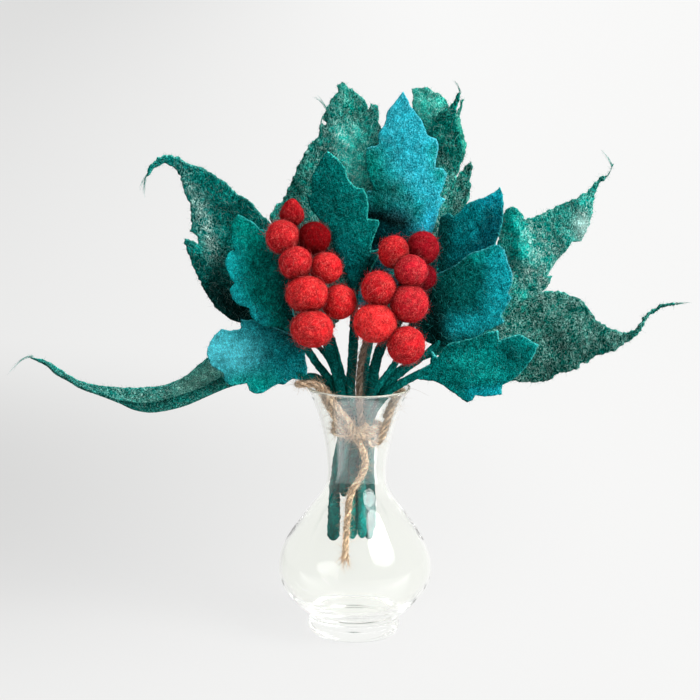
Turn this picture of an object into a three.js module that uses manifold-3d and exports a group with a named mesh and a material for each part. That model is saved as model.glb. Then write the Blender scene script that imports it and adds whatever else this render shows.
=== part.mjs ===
// A holly bunch of wool felt, tied with jute twine and standing in a blown-glass vase.
// Millimetres, +Z up. The origin is the centre of the flat face under the vase's foot, and the bunch
// is made to be seen from the front, from -Y. Each mesh is one closed solid, and nothing moves.

import * as THREE from "three";
import { mergeVertices } from "three/addons/utils/BufferGeometryUtils.js";
import Module from "manifold-3d";

const wasm = await Module();
wasm.setup();

// ---- Driving dimensions -------------------------------------------------------------------------

const GAP = 0.3; // left between two pieces that rest on each other

// The leaves and berries are drawn on an upright sheet through the vase's axis, square to the line of
// sight of an eye in front of the bunch. Each drawn point then slides along its own line of sight to
// the depth that its piece has there, behind the sheet (+) or in front of it (-).
const EYE_DISTANCE = 1833;
const EYE_RISE = THREE.MathUtils.degToRad(10.6);
const SHEET_ROLL = THREE.MathUtils.degToRad(-1.1);
const SHEET_CENTRE = new THREE.Vector3(-6.1, 0, 194.6);

const VASE_TURNS = 30; // facets round the vase
const VASE_OUTSIDE = [ // radius and height, from the foot to the rim
  [24.5, 0], [28.6, 1.6], [30.9, 7], [30.1, 12.6], [33, 16], [38.4, 20.4], [44.8, 27.8], [49.6, 35.6],
  [51.7, 46], [49.6, 57.4], [44.4, 68], [31.3, 86.6], [24.6, 95.2], [20.8, 103], [19.6, 111],
  [21.2, 127.7], [24.6, 144.1], [28.5, 156.2], [32.6, 166], [34.6, 169.4], [34.4, 170.4],
];
const VASE_INSIDE = [ // from the rim to the floor
  [33.5, 170.2], [30.8, 166.2], [26.7, 156.8], [22.8, 144.7], [19.4, 128.2], [17.8, 111.2],
  [19.1, 103.6], [23, 96], [29.8, 87.4], [42.8, 67.2], [47.8, 56.8], [49.8, 46], [47.8, 36.4],
  [41, 26.6], [31, 19.4], [16, 15.6],
];

const BINDING_HEIGHT = 142; // the middle of the two turns of twine
const TWINE_RADIUS = 2.15;
const TWINE_SIDES = 8;
const BINDING_RADIUS = 14.95; // to the middle of the twine
const KNOT_CENTRE = [-1, -17.9, 143];
const KNOT_HALF_SIZES = [6.4, 3.1, 4.6];

// The stems are packed in two rings of places. How wide the rings are, and how far they lean towards
// -X, changes down the bunch: [height, widening, shift, stem radius]. A stem with a girth of its own is
// that much thicker below FREE_HEIGHT, where its neighbours have ended.
const RING_RADII = { inner: 5.1, outer: 10.1 };
const FREE_HEIGHT = 88;
const BUNDLE_LEVELS = [
  [60, 1.3, -2, 3.2], [FREE_HEIGHT, 1.23, -2.2, 3], [118, 1.12, -2.5, 2.7],
  [BINDING_HEIGHT - 5, 1, -0.8, 2.3], [BINDING_HEIGHT + 7, 1, -0.5, 2.3],
];
const STEM_SIDES = 7;
const STEM_STEP = 16;

const SMALL_LEAF = { thickness: 2.8, cell: 13 };
const LARGE_LEAF = { thickness: 1.6, cell: 15 };

const TEAL = "#0d6a66";
const DEEP_TEAL = "#0a5551";
const SEA_BLUE = "#1b86a0";
const SCARLET = "#c8141c";
const JUTE = "#b08a5c";

// A leaf: its outline and its midrib on the sheet (the rib also has its depth), how the two sides
// leave the rib (fold: depth for each mm across, left and right; cup: the same, growing), the swells
// of its surface, its place in the bundle, and the way of its stem from there ([s, t, depth, radius]).
const LEAVES = {
  leaf_small_centre: {
    kind: SMALL_LEAF, colour: DEEP_TEAL,
    outline: [
      [-15.3, 132.7], [-18, 128.7], [-21.3, 122.7], [-24.7, 115.3], [-25.3, 109.3], [-25.3, 103.6],
      [-28, 102.7], [-27.3, 98], [-24.7, 92.7], [-18.7, 84.7], [-14, 76.7], [-9.3, 65.3], [-5.3, 56.7],
      [-1, 46.7], [1, 38], [5.5, 38], [8, 44], [13.3, 52], [18.7, 62], [20.7, 65.3], [19.3, 67.3],
      [13.3, 66], [14, 70.7], [17.3, 79.3], [19.3, 84.7], [18.7, 86.7], [11.3, 87.3], [12, 95.3],
      [10.7, 102.7], [8.7, 107.3], [4, 108], [-1.3, 113.3], [-3.3, 120.7], [-9.3, 128],
    ],
    rib: [[3, 38, -16], [2, 60, -20], [-2, 85, -22], [-8, 110, -20], [-15.3, 132.7, -14]],
    fold: [0.1, 0.16], cup: [0.006, 0.006], ring: "outer", turn: 270, foot: 124,
    stem: [[0.6, -28, -8.5, 3], [1.6, -8, -11, 3.2], [2.6, 14, -13, 3]],
  },
  leaf_small_top: {
    kind: SMALL_LEAF, colour: SEA_BLUE,
    outline: [
      [35.3, 172], [30.7, 166], [25.3, 158.7], [23.3, 150.7], [19.3, 144], [19.3, 137.3], [16.7, 136],
      [12, 134.7], [10.7, 130.7], [11.3, 122], [13.3, 114], [15.3, 109.3], [15.3, 106], [11.3, 105.3],
      [8, 96.7], [10.7, 85.3], [14.7, 73.3], [20, 58.7], [24, 44], [29, 44], [37, 52], [50, 67],
      [54.7, 79.3], [57.3, 87.3], [59.3, 94], [63.3, 100], [59.3, 102.7], [62, 110], [64, 116.7],
      [62, 120.7], [56.7, 121.3], [57.3, 128], [58.7, 134.7], [57.3, 140.7], [54.7, 141.3],
      [51.3, 143.3], [48, 152], [42, 160], [38, 167.3],
    ],
    rib: [[26, 44, 2], [33, 75, 0], [37, 110, 0], [37, 145, 4], [35.3, 172, 9]],
    fold: [0.14, 0.14], cup: [0.004, 0.004], ring: "inner", turn: 270, foot: 66,
    stem: [[7.5, -28, -3, 2.6], [13, 4, -6, 2.4], [20, 26, -2, 2.3]],
  },
  leaf_small_right_upper: {
    kind: SMALL_LEAF, colour: SEA_BLUE,
    outline: [
      [99.7, 108.7], [97.3, 106], [88.7, 101.3], [79.3, 98], [74, 92.7], [69.3, 88.7], [65.3, 91.3],
      [60.7, 88], [59.3, 80], [57.3, 69.3], [55, 58], [51, 46], [56, 45], [69.3, 50], [84, 56],
      [95.3, 64], [97, 71.3], [100.7, 82], [102, 92.7], [101.3, 103.3],
    ],
    rib: [[53, 46, -4], [66, 66, -7], [83, 87, -7], [99.7, 108.7, -2]],
    fold: [0.14, 0.16], cup: [0.004, 0.004], ring: "inner", turn: 330, foot: 70,
    stem: [[17, -27, -3, 2.5], [30, -9, 0, 2.3], [42, 18, 1, 2.3]],
  },
  leaf_small_right_middle: {
    kind: SMALL_LEAF, colour: TEAL,
    outline: [
      [102, 67.3], [96.7, 70], [88, 66.7], [80, 64], [69.3, 56], [58, 48], [54, 38], [52, 28],
      [46.7, 18.7], [50, 10], [54.7, 4], [61, 2.5], [66, 3], [74, 6], [85.3, 9.3], [90.7, 12.7],
      [98.7, 16.7], [102.7, 18.7], [100, 23.3], [104.7, 30], [107.3, 35.3], [104.7, 38],
      [106.7, 42], [108, 50], [104.7, 59.3],
    ],
    rib: [[58, 4, -13], [70, 22, -17], [86, 45, -18], [102, 67.3, -13]],
    fold: [0.1, 0.14], cup: [0.005, 0.005], ring: "inner", turn: 30, foot: 68,
    stem: [[25, -23, -3, 2.4], [35, -14.5, -6, 2.3], [47, -5.5, -10, 2.3]],
  },
  leaf_small_right_lower: {
    kind: SMALL_LEAF, colour: TEAL,
    outline: [
      [125.3, 3.3], [120, 6], [112.7, 10], [104.7, 8], [99.3, 6], [98.7, 12.7], [90.7, 11.3],
      [82, 8], [72, 5.5], [64.7, 3.3], [58.7, -5.3], [54.7, -0.7], [53.5, -9], [46, -14],
      [42, -19], [50, -20], [58, -21.3], [66.7, -26.7], [72, -30.7], [78, -34.7], [82, -33.3],
      [83.3, -30], [91.3, -30.7], [101.3, -29.3], [101.3, -23.3], [108.7, -19.3], [116.7, -12],
      [122, -4],
    ],
    rib: [[44, -17, -18], [62, -12, -22], [90, -8, -25], [125.3, 3.3, -20]],
    fold: [0.12, 0.12], cup: [0.004, 0.004], ring: "outer", turn: 330, foot: 66,
    stem: [[25, -28.5, -11, 2.6], [34, -22.5, -15, 2.6]],
  },
  leaf_small_left_upper: {
    kind: SMALL_LEAF, colour: TEAL,
    outline: [
      [-74.7, 90], [-78, 85.3], [-79.3, 78.7], [-78.7, 72], [-76.7, 66.7], [-80.7, 64],
      [-82.7, 59.3], [-81.3, 52.7], [-78.7, 47.3], [-76.7, 44.7], [-80, 40.7], [-79.3, 37.3],
      [-74.7, 30.7], [-66.7, 28], [-66, 23.3], [-62, 18.7], [-56, 16], [-46.7, 15.3], [-38, 10],
      [-34.5, 14], [-38, 28], [-36.5, 44], [-39, 58], [-45, 72], [-52, 80], [-60, 80],
      [-63.3, 84], [-68.7, 87.3],
    ],
    rib: [[-37, 12, -10], [-50, 32, -13], [-63, 60, -13], [-74.7, 90, -7]],
    fold: [0.12, 0.12], cup: [0.006, 0.006], ring: "inner", turn: 210, foot: 101,
    stem: [[-10.8, -23, -5, 2.5], [-21.8, -9.5, -6.5, 2.6], [-28.5, 0.5, -8, 2.5]],
  },
  leaf_small_left_lower: {
    kind: SMALL_LEAF, colour: SEA_BLUE,
    outline: [
      [-72.7, 20], [-72.7, 14], [-78.7, 12.7], [-85.3, 14], [-90.7, 9.3], [-94.7, 1.3],
      [-94.7, -4], [-91.3, -10.7], [-84, -15.3], [-83.3, -20], [-78.7, -23.3], [-68.7, -22],
      [-66.7, -27.3], [-61.3, -29.3], [-56, -27.3], [-48.7, -22.7], [-44, -22.7], [-39.3, -19.3],
      [-36, -19.5], [-30, -19.5], [-28.5, -14.5], [-30, -4], [-30, 1.3], [-36, 8], [-48, 14],
      [-60, 19],
    ],
    rib: [[-31, -17.5, -9], [-48, -9, -10], [-72, -2, -8], [-94.7, -1, -3]],
    fold: [0.1, 0.12], cup: [0.004, 0.004], ring: "outer", turn: 210, foot: 105,
    stem: [[-16.5, -22.3, -2.5, 2.5], [-23.5, -18, -4, 2.5]],
  },
  leaf_large_upper_left: {
    kind: LARGE_LEAF, colour: DEEP_TEAL,
    outline: [
      [-136, 115.3], [-133.3, 117], [-130.7, 121], [-124.7, 124], [-119.3, 123], [-114.7, 118.7],
      [-112.7, 112.7], [-110, 104], [-106.7, 97.3], [-106, 89], [-105.3, 82], [-106.7, 79.3],
      [-102.7, 77.3], [-100.7, 70], [-106, 72.7], [-110.7, 74.7], [-108.7, 66.7], [-105.3, 57.3],
      [-102, 50], [-97.3, 40.7], [-92.7, 32.7], [-86.7, 26], [-80.7, 21.3], [-73.7, 18.7],
      [-66.7, 20], [-56, 11], [-43.3, 8], [-34, 12], [-33, 26], [-37, 42], [-44.7, 58.7],
      [-47.5, 72], [-53.7, 85.3], [-59.3, 90.7], [-68.7, 100.7], [-75.3, 104], [-82, 110.7],
      [-94.7, 119.3], [-106, 124], [-117.3, 129.3], [-123, 130], [-128.7, 127.3], [-134.7, 120.7],
    ],
    rib: [[-38, 10, 10], [-58, 38, 16], [-78, 70, 16], [-97, 98, 9], [-118, 126, 0], [-136, 115.3, -8]],
    fold: [-0.2, -0.16], cup: [-0.006, -0.006],
    swells: [{ from: [-95, 60], to: [-108, 68], reach: 7, lift: 6 }],
    ring: "outer", turn: 150, foot: 103,
    stem: [[-7.6, -21, 5, 2.4], [-15, -5, 7, 1.8], [-20.6, 1.8, 8, 1.8], [-29, 8, 9, 2]],
  },
  leaf_large_top_left: {
    kind: LARGE_LEAF, colour: TEAL,
    outline: [
      [-5.3, 179], [-8.7, 176], [-8, 172], [-12.7, 166.7], [-16, 160.7], [-17.3, 155.3],
      [-15.3, 149.3], [-18.7, 151.3], [-20.7, 148], [-20.7, 142], [-24.7, 139.3], [-28.7, 134],
      [-32.7, 126.7], [-36.7, 118], [-40.7, 108.7], [-44.7, 100], [-48.7, 97.3], [-52.7, 90.7],
      [-53.3, 86], [-46, 72], [-36, 56], [-26, 36], [-18, 14], [-11.5, 14], [-5, 25], [4, 36], [12, 46.7],
      [20, 73.3], [26, 92], [30, 99], [26, 108], [22.7, 126.7], [21.5, 140], [20.7, 147.3],
      [19.3, 151.3], [19.3, 158.7], [18.7, 162.7], [14, 164], [12.3, 159.3], [11.3, 164],
      [7.3, 168.7], [3.3, 172.7], [-1.3, 175.3],
    ],
    rib: [[-14.5, 15, 16], [-14, 50, 24], [-14, 90, 27], [-8, 130, 24], [-1, 160, 16], [-5.3, 179, 12]],
    fold: [0.24, -0.12], cup: [-0.004, -0.006],
    ring: "outer", turn: 90, foot: 65,
    stem: [[-4, -23, 11, 2.9], [-8.4, -8, 14, 2.9], [-12, 5, 15, 2.9]],
  },
  leaf_large_top_right: {
    kind: LARGE_LEAF, colour: DEEP_TEAL,
    outline: [
      [70.5, 176], [72.3, 172], [71, 167.5], [66.7, 163.5], [64, 160], [65.3, 164], [62, 168.7],
      [55.3, 172.7], [50.7, 174.7], [44, 174.7], [40.7, 174], [42, 170.7], [42, 160],
      [41.3, 146.7], [37, 127], [31, 107], [30, 80], [25.3, 53.3], [20, 14], [29, 10],
      [46.7, 33.3], [60, 53.3], [70, 73.3], [75.5, 89], [78.7, 99.3], [80.7, 106], [80, 114],
      [82, 122], [80.7, 125.7], [76, 121.3], [70.7, 115.3], [72.7, 119.3], [74.7, 125.3],
      [75.3, 133.3], [74, 140], [72, 145.3], [70.7, 154.7], [72.7, 163.3], [74, 168.7], [74, 173.3],
    ],
    rib: [
      [25, 12, 18], [41, 50, 24], [47, 90, 24], [50, 125, 21], [57, 152, 17], [66, 163, 14], [70.5, 176, 12],
    ],
    fold: [0.3, -0.3], cup: [0.006, 0.004],
    ring: "outer", turn: 60, foot: 66,
    stem: [[11, -24, 9, 2.9], [19, -4, 14, 2.8]],
  },
  leaf_large_upper_right: {
    kind: LARGE_LEAF, colour: TEAL,
    outline: [
      [175.3, 124], [172, 117.3], [167.3, 115.3], [160.7, 108.7], [154.7, 103.3], [144.7, 98.7],
      [134, 94], [124, 89.3], [117.3, 86.7], [114.7, 90.7], [111.3, 94.7], [107.3, 95.3],
      [103.3, 92.7], [100.5, 84], [98, 68], [93, 50], [83, 30], [68, 12], [53, -0.5], [57, -4.2],
      [74, -2], [96.7, 10], [113.3, 21.3], [124, 30.7], [126, 36], [132, 43.3], [134.7, 49.3],
      [130.7, 49.3], [137.3, 58.7], [143.3, 65.3], [148, 72], [154, 72.7], [157.3, 78.7],
      [160.7, 87.3], [162, 94], [162, 99.3], [164, 106], [166.7, 111.3], [172, 116],
    ],
    rib: [[56, -2, 13], [84, 22, 18], [112, 52, 17], [140, 82, 9], [163, 108, 0], [175.3, 124, -5]],
    fold: [0.2, 0.16], cup: [0.004, 0.006],
    swells: [{ from: [109, 92], to: [114, 62], reach: 6, lift: 9 }],
    ring: "outer", turn: 30, foot: 68,
    stem: [[22, -24, 7, 2.8], [35.5, -12, 10, 2.6], [46, -5.4, 12, 2.4]],
  },
  leaf_large_lower_right: {
    kind: LARGE_LEAF, colour: DEEP_TEAL,
    outline: [
      [219.3, 30.7], [213.3, 31.6], [207.3, 30.3], [201.3, 27], [196, 22], [191.3, 15.3],
      [184.7, 12], [176.7, 13.3], [170.7, 16], [164, 20.7], [158.7, 28], [154, 33.3], [148, 36],
      [141.3, 38.7], [134, 39.3], [128, 38.7], [118, 34], [108, 26], [96, 14], [76, 2],
      [56, -6.5], [54, -13.5], [70, -14.5], [93.3, -18.7], [108, -20.7], [123.3, -21.3], [130, -20.7],
      [135.3, -18.7], [137.3, -16], [144.7, -14.7], [151.3, -12.7], [154.7, -8.7], [158.7, -8],
      [163.3, -4], [172, -2], [178.7, 0.7], [180, 2.7], [185.3, 5.3], [194, 13.3], [198, 20.7],
      [204, 26], [209, 28.5],
    ],
    rib: [
      [56, -11, 3], [85, 0, 4], [125, 8, 4], [160, 8, -4], [186, 9, -11], [203, 27, -16], [219.3, 30.7, -20],
    ],
    fold: [0.22, 0.2], cup: [0.004, 0.004],
    ring: "outer", turn: 0, foot: 70,
    stem: [[23, -28.5, 0, 2.8], [35, -21.6, 1, 2.7], [46, -16, 2, 2.6]],
  },
};

// The lower left leaf is folded like a gutter. Its outline is drawn on the opened leaf, as the length
// along the fold and the height that each side rises above it: the back side (+), the front lip (-).
const GUTTER = {
  kind: LARGE_LEAF, colour: DEEP_TEAL,
  outline: [
    [-212.7, 1.2], [-214, 0], [-212.7, -1.2], [-202.7, -2], [-196, -2.2], [-186.7, -2.2],
    [-179.3, -2.2], [-167.3, -2.4], [-155, -2.6], [-151.3, -4], [-144.7, -6], [-134, -8],
    [-122, -9.2], [-109.3, -9.6], [-97.3, -9], [-86, -10], [-78.7, -8], [-60, -7.5], [-48, -5],
    [-38, -2.5], [-38, 2.5], [-48, 9], [-60, 20], [-72, 27], [-78.7, 33], [-86, 29], [-97.3, 26.5],
    [-109.3, 21.5], [-122, 19], [-134, 18.6], [-144.7, 16], [-151.3, 13], [-167.3, 8],
    [-179.3, 6.4], [-186.7, 5.6], [-196, 6.6], [-202.7, 4.4],
  ],
  fold: [ // the bottom of the gutter on the sheet, with its depth
    [-216, -4, -8], [-202.7, -9.7, -4], [-196, -15.7, -2], [-186.7, -20.8, 1], [-179.3, -25.3, 3],
    [-167.3, -29.6, 6], [-151.3, -35.9, 9], [-144.7, -39, 10], [-134, -41, 11], [-122, -39.7, 12],
    [-109.3, -36.3, 13], [-97.3, -31.2, 13], [-86, -26.2, 13], [-78.7, -23.6, 13], [-60, -19, 12],
    [-38, -16, 9],
  ],
  rounding: 2.4, lean: 0.9, ring: "outer", turn: 180, foot: 63, girth: 1.32,
  stem: [[-18, -27, 1, 2.6], [-27.8, -19.5, 5, 2.6], [-38, -16, 9, 2.4], [-60, -18.4, 12, 1.6]],
};

// A berry bunch: its felt balls ([s, t, depth, radius, flattening]) and the stem behind them.
const BERRY_BUNCHES = {
  left: {
    balls: [
      [-38.7, 90, -26, 8, 0.96], [-44.7, 75.3, -32, 11.2, 1], [-24, 74.7, -30, 10.9, 0.97],
      [-36, 58, -38.5, 11.1, 1], [-16, 54.7, -36, 10.6, 0.97], [-28.7, 37.2, -42, 13.9, 0.88],
      [-7.3, 32, -34, 11.4, 1], [-25.3, 14.2, -45, 13.9, 0.88],
    ],
    ring: "outer", turn: 240, foot: 97,
    stem: [
      [-6, -28, -10.5, 3.2], [-12, -3, -20, 3.6], [-19, 13, -27, 3.2], [-27, 36, -25.5, 2.8],
      [-32, 58, -27, 2.4], [-38, 72, -21, 1.6],
    ],
  },
  right: {
    balls: [
      [29.3, 65.3, -36, 10.3, 1.05], [48.7, 68, -33, 10.5, 1.04], [40.7, 52.7, -43, 10.8, 1],
      [48.7, 48.7, -28, 8.7, 1], [19.3, 40.7, -44, 11.6, 1], [39.3, 31, -43, 12.6, 1],
      [16.7, 18, -45, 14.2, 0.91], [37.3, 3.3, -44, 12.5, 1],
    ],
    ring: "outer", turn: 300, foot: 68,
    stem: [
      [14.2, -28, -9.5, 3.1], [18.4, -4, -21, 3.4], [26.4, 14, -29, 3], [33, 32, -30, 2.6],
      [35, 50, -31.5, 2.2], [36, 62, -26, 1.5],
    ],
  },
};

// The twine's free lengths, by hand, as they run from the knot.
const TWINE_ROUTES = {
  twine_loop_left: [
    [-4.8, -18.6, 149], [-8, -19.2, 152.8], [-12, -18.9, 157.6], [-16.4, -18.6, 163.2],
    [-20.8, -19, 169.2], [-25.2, -20.6, 174.2], [-30, -22.8, 175.6], [-35.4, -22.8, 175.4],
    [-39.4, -19.2, 174.6], [-40.2, -13.4, 173.6], [-37.6, -8.8, 173.4], [-32.8, -7.8, 173.2],
    [-28.6, -10.4, 172.4], [-24.4, -13, 168.4], [-21, -14.2, 162.6], [-17.8, -15, 157],
    [-14.4, -15.9, 151.8], [-10.4, -16.8, 147.4],
  ],
  twine_loop_right: [
    [6.2, -17.2, 136.6], [8.6, -15.9, 134.8], [11.2, -14.1, 134.4], [14, -11.9, 136], [16.6, -10.2, 140.4],
    [18.4, -9, 146], [20.2, -9.6, 153], [22.4, -10.4, 159.6], [24.8, -10.8, 164.8],
    [27.6, -8.8, 167.8], [29.2, -4.4, 168.5], [28.4, 0.6, 167.7], [26, 3.6, 164.4], [23.3, 4.4, 159],
    [20.8, 4, 153], [18.4, 3, 148],
  ],
  twine_strand_up: [
    [2.2, -18.9, 148.2], [1.8, -18.8, 152], [1.2, -18.2, 158], [0.6, -18.2, 166], [0.4, -19.6, 176],
    [0.9, -21.4, 186], [1.8, -22.8, 194], [3.2, -23.6, 201], [5, -24, 208],
  ],
  twine_tail_down: [
    [0.4, -17.9, 137.4], [2.2, -17.2, 133.4], [4.2, -16.4, 129.2], [5.2, -15.7, 124.2],
    [5.2, -14.9, 118.6], [3.4, -15.1, 113.2], [1, -15.1, 108.6], [-2.2, -15.2, 103.2],
    [-4.3, -16, 97], [-5.2, -16.8, 89], [-5.8, -17.2, 80], [-6.2, -17.3, 71], [-6.5, -17.1, 62],
    [-6.7, -17, 55.6],
  ],
};

// ---- Placing ------------------------------------------------------------------------------------

const SIGHT = new THREE.Vector3(0, Math.cos(EYE_RISE), -Math.sin(EYE_RISE));
const [SHEET_RIGHT, SHEET_UP] = [
  new THREE.Vector3(1, 0, 0),
  new THREE.Vector3(0, Math.sin(EYE_RISE), Math.cos(EYE_RISE)),
].map((edge) => edge.applyAxisAngle(SIGHT, SHEET_ROLL));

// The point drawn at (s, t) on the sheet, slid along its line of sight to its depth.
function lay(s, t, depth) {
  const spread = 1 + depth / EYE_DISTANCE;
  return SHEET_CENTRE.clone()
    .addScaledVector(SHEET_RIGHT, s * spread)
    .addScaledVector(SHEET_UP, t * spread)
    .addScaledVector(SIGHT, depth);
}

// The nearest point of a line of [s, t, ...] points: what the line says there, how far along it that
// is, and how far to its left (-) or right (+) the asked point lies.
function nearestOn(line, s, t) {
  let best = { away: Infinity };
  let along = 0;
  for (let i = 0; i + 1 < line.length; i++) {
    const [a, b] = [line[i], line[i + 1]];
    const [ds, dt] = [b[0] - a[0], b[1] - a[1]];
    const length = Math.hypot(ds, dt);
    const part = THREE.MathUtils.clamp(((s - a[0]) * ds + (t - a[1]) * dt) / length ** 2, 0, 1);
    const away = Math.hypot(s - a[0] - part * ds, t - a[1] - part * dt);
    if (away < best.away) {
      const side = Math.sign((s - a[0]) * dt - (t - a[1]) * ds);
      best = { away, side, along: along + part * length, values: a.map((v, k) => v + part * (b[k] - v)) };
    }
    along += length;
  }
  return best;
}

// A smooth line through a few [x, y, z] points, as closely spaced points.
function smooth(points, steps = 48) {
  const curve = new THREE.CatmullRomCurve3(points.map((p) => new THREE.Vector3(...p)));
  return curve.getSpacedPoints(steps).map((p) => p.toArray());
}

// ---- Solids -------------------------------------------------------------------------------------

function solidOf(geometry) {
  const bare = geometry.clone();
  bare.deleteAttribute("normal");
  bare.deleteAttribute("uv");
  const merged = mergeVertices(bare, 1e-4);
  return new wasm.Manifold(new wasm.Mesh({
    numProp: 3,
    vertProperties: Float32Array.from(merged.attributes.position.array),
    triVerts: Uint32Array.from(merged.index.array),
  }));
}

function geometryOf(solid) {
  const { vertProperties, triVerts } = solid.getMesh();
  const geometry = new THREE.BufferGeometry();
  geometry.setAttribute("position", new THREE.BufferAttribute(vertProperties, 3));
  geometry.setIndex(new THREE.BufferAttribute(triVerts, 1));
  geometry.computeVertexNormals();
  return geometry;
}

// The first solid with the others joined to it.
const joined = (solids) => solids.reduce((all, next) => all.add(next));

// What is left of a solid when its neighbours are cut out of it, without loose scraps.
function cutClear(solid, neighbours) {
  const near = neighbours.filter((other) => boxesMeet(solid.boundingBox(), other.boundingBox()));
  const pieces = near.reduce((rest, other) => rest.subtract(other), solid).decompose();
  return pieces.reduce((largest, piece) => (piece.volume() > largest.volume() ? piece : largest));
}

const boxesMeet = (a, b) => [0, 1, 2].every((k) => a.min[k] < b.max[k] && b.min[k] < a.max[k]);

// A round rod through the points, with a radius at each point.
function rod(points, radii, sides, stepLength) {
  const curve = new THREE.CatmullRomCurve3(points, false, "centripetal");
  const steps = Math.max(2, Math.round(curve.getLength() / stepLength));
  const section = new THREE.Shape(new THREE.Path().absarc(0, 0, 1, 0, 2 * Math.PI).getSpacedPoints(sides));
  const geometry = new THREE.ExtrudeGeometry(section, { steps, extrudePath: curve, bevelEnabled: false });
  const centres = curve.getSpacedPoints(steps);
  const radiusAt = (share) => {
    const place = curve.getUtoTmapping(share) * (radii.length - 1);
    const before = Math.min(Math.floor(place), radii.length - 2);
    return THREE.MathUtils.lerp(radii[before], radii[before + 1], place - before);
  };
  const ringRadii = centres.map((_, i) => radiusAt(i / steps));
  const positions = geometry.attributes.position;
  const point = new THREE.Vector3();
  for (let i = 0; i < positions.count; i++) {
    point.fromBufferAttribute(positions, i);
    const distances = centres.map((centre) => centre.distanceToSquared(point));
    const ring = distances.indexOf(Math.min(...distances));
    point.sub(centres[ring]).multiplyScalar(ringRadii[ring]).add(centres[ring]);
    positions.setXYZ(i, point.x, point.y, point.z);
  }
  return solidOf(geometry);
}

// ---- Leaves -------------------------------------------------------------------------------------

const edgeKey = (a, b) => (a < b ? `${a},${b}` : `${b},${a}`);

// Which triangles meet at each edge, with the corner that each has opposite it.
function edgesOf(triangles) {
  const edges = new Map();
  triangles.forEach((corners, index) => corners.forEach((a, k) => {
    const b = corners[(k + 1) % 3];
    const key = edgeKey(a, b);
    edges.set(key, [...(edges.get(key) ?? []), { a, b, index, opposite: corners[(k + 2) % 3] }]);
  }));
  return edges;
}

// Turns the shared edge of two triangles wherever that makes both of them less thin.
function evened(points, triangles) {
  const corner = (at, p, q) => {
    const [a, b, c] = [points[at], points[p], points[q]];
    const [ux, uy, vx, vy] = [b[0] - a[0], b[1] - a[1], c[0] - a[0], c[1] - a[1]];
    return Math.atan2(Math.abs(ux * vy - uy * vx), ux * vx + uy * vy);
  };
  const wide = (at, far, p, q) => corner(at, far, p) + corner(at, far, q);
  for (let pass = 0; pass < 20; pass++) {
    const touched = new Set();
    for (const pair of edgesOf(triangles).values()) {
      if (pair.length < 2 || pair.some(({ index }) => touched.has(index))) continue;
      const [{ a, b, index: one, opposite: c }, { index: two, opposite: d }] = pair;
      const thin = corner(c, a, b) + corner(d, a, b) > Math.PI + 1e-6;
      const convex = wide(a, b, c, d) < Math.PI - 1e-3 && wide(b, a, c, d) < Math.PI - 1e-3;
      if (!thin || !convex) continue;
      triangles[one] = [a, d, c];
      triangles[two] = [d, b, c];
      touched.add(one).add(two);
    }
    if (!touched.size) break;
  }
  return triangles;
}

// A flat outline as triangles with no edge longer than a cell.
function triangulated(outline, cell) {
  const flat = new THREE.ShapeGeometry(new THREE.Shape(outline.map(([x, y]) => new THREE.Vector2(x, y))));
  const { position } = flat.attributes;
  const points = Array.from({ length: position.count }, (_, i) => [position.getX(i), position.getY(i)]);
  let triangles = [];
  for (let i = 0; i < flat.index.count; i += 3) triangles.push([0, 1, 2].map((k) => flat.index.getX(i + k)));
  triangles = evened(points, triangles);
  for (let longest = 8 * cell; longest >= cell; longest /= 2) {
    const middles = new Map();
    const middle = (a, b) => {
      const [p, q] = [points[a], points[b]];
      if (Math.hypot(p[0] - q[0], p[1] - q[1]) <= longest) return undefined;
      const key = edgeKey(a, b);
      if (!middles.has(key)) middles.set(key, points.push([(p[0] + q[0]) / 2, (p[1] + q[1]) / 2]) - 1);
      return middles.get(key);
    };
    triangles = evened(points, triangles.flatMap((corners) => split(corners, middle)));
  }
  return { points, triangles };
}

// A triangle cut at the middles of its long edges.
function split([a, b, c], middle) {
  const [ab, bc, ca] = [middle(a, b), middle(b, c), middle(c, a)];
  const cuts = [ab, bc, ca].filter((m) => m !== undefined).length;
  if (cuts === 0) return [[a, b, c]];
  if (cuts === 3) return [[a, ab, ca], [ab, b, bc], [ca, bc, c], [ab, bc, ca]];
  if (cuts === 1) {
    if (ab !== undefined) return [[a, ab, c], [ab, b, c]];
    return bc !== undefined ? [[a, b, bc], [a, bc, c]] : [[b, c, ca], [b, ca, a]];
  }
  if (ab === undefined) return [[a, b, bc], [a, bc, ca], [ca, bc, c]];
  return bc === undefined ? [[b, c, ca], [b, ca, ab], [ab, ca, a]] : [[c, a, ab], [c, ab, bc], [bc, ab, b]];
}

// A plate of even thickness whose middle surface is form(u, v), over a flat outline.
function plate(outline, form, thickness, cell) {
  const { points, triangles } = triangulated(outline, cell);
  const step = 0.5;
  const faces = [1, -1].map((side) => points.map(([u, v]) => {
    const along = form(u + step, v).sub(form(u - step, v));
    const across = form(u, v + step).sub(form(u, v - step));
    return form(u, v).addScaledVector(along.cross(across).normalize(), (side * thickness) / 2);
  }));
  const count = points.length;
  const walls = [...edgesOf(triangles).values()].filter((pair) => pair.length === 1).flatMap(([{ a, b }]) =>
    [[a, a + count, b + count], [a, b + count, b]]);
  const geometry = new THREE.BufferGeometry().setFromPoints(faces.flat());
  geometry.setIndex([...triangles, ...triangles.map(([a, b, c]) => [c + count, b + count, a + count]),
    ...walls].flat());
  return solidOf(geometry);
}

// How the bundle is packed at a height.
function packingAt(height) {
  const above = Math.max(1, BUNDLE_LEVELS.findIndex((level) => level[0] >= height));
  const [low, high] = [BUNDLE_LEVELS[above - 1], BUNDLE_LEVELS[above]];
  const part = (height - low[0]) / (high[0] - low[0]);
  return low.map((value, k) => THREE.MathUtils.lerp(value, high[k], part));
}

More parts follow.
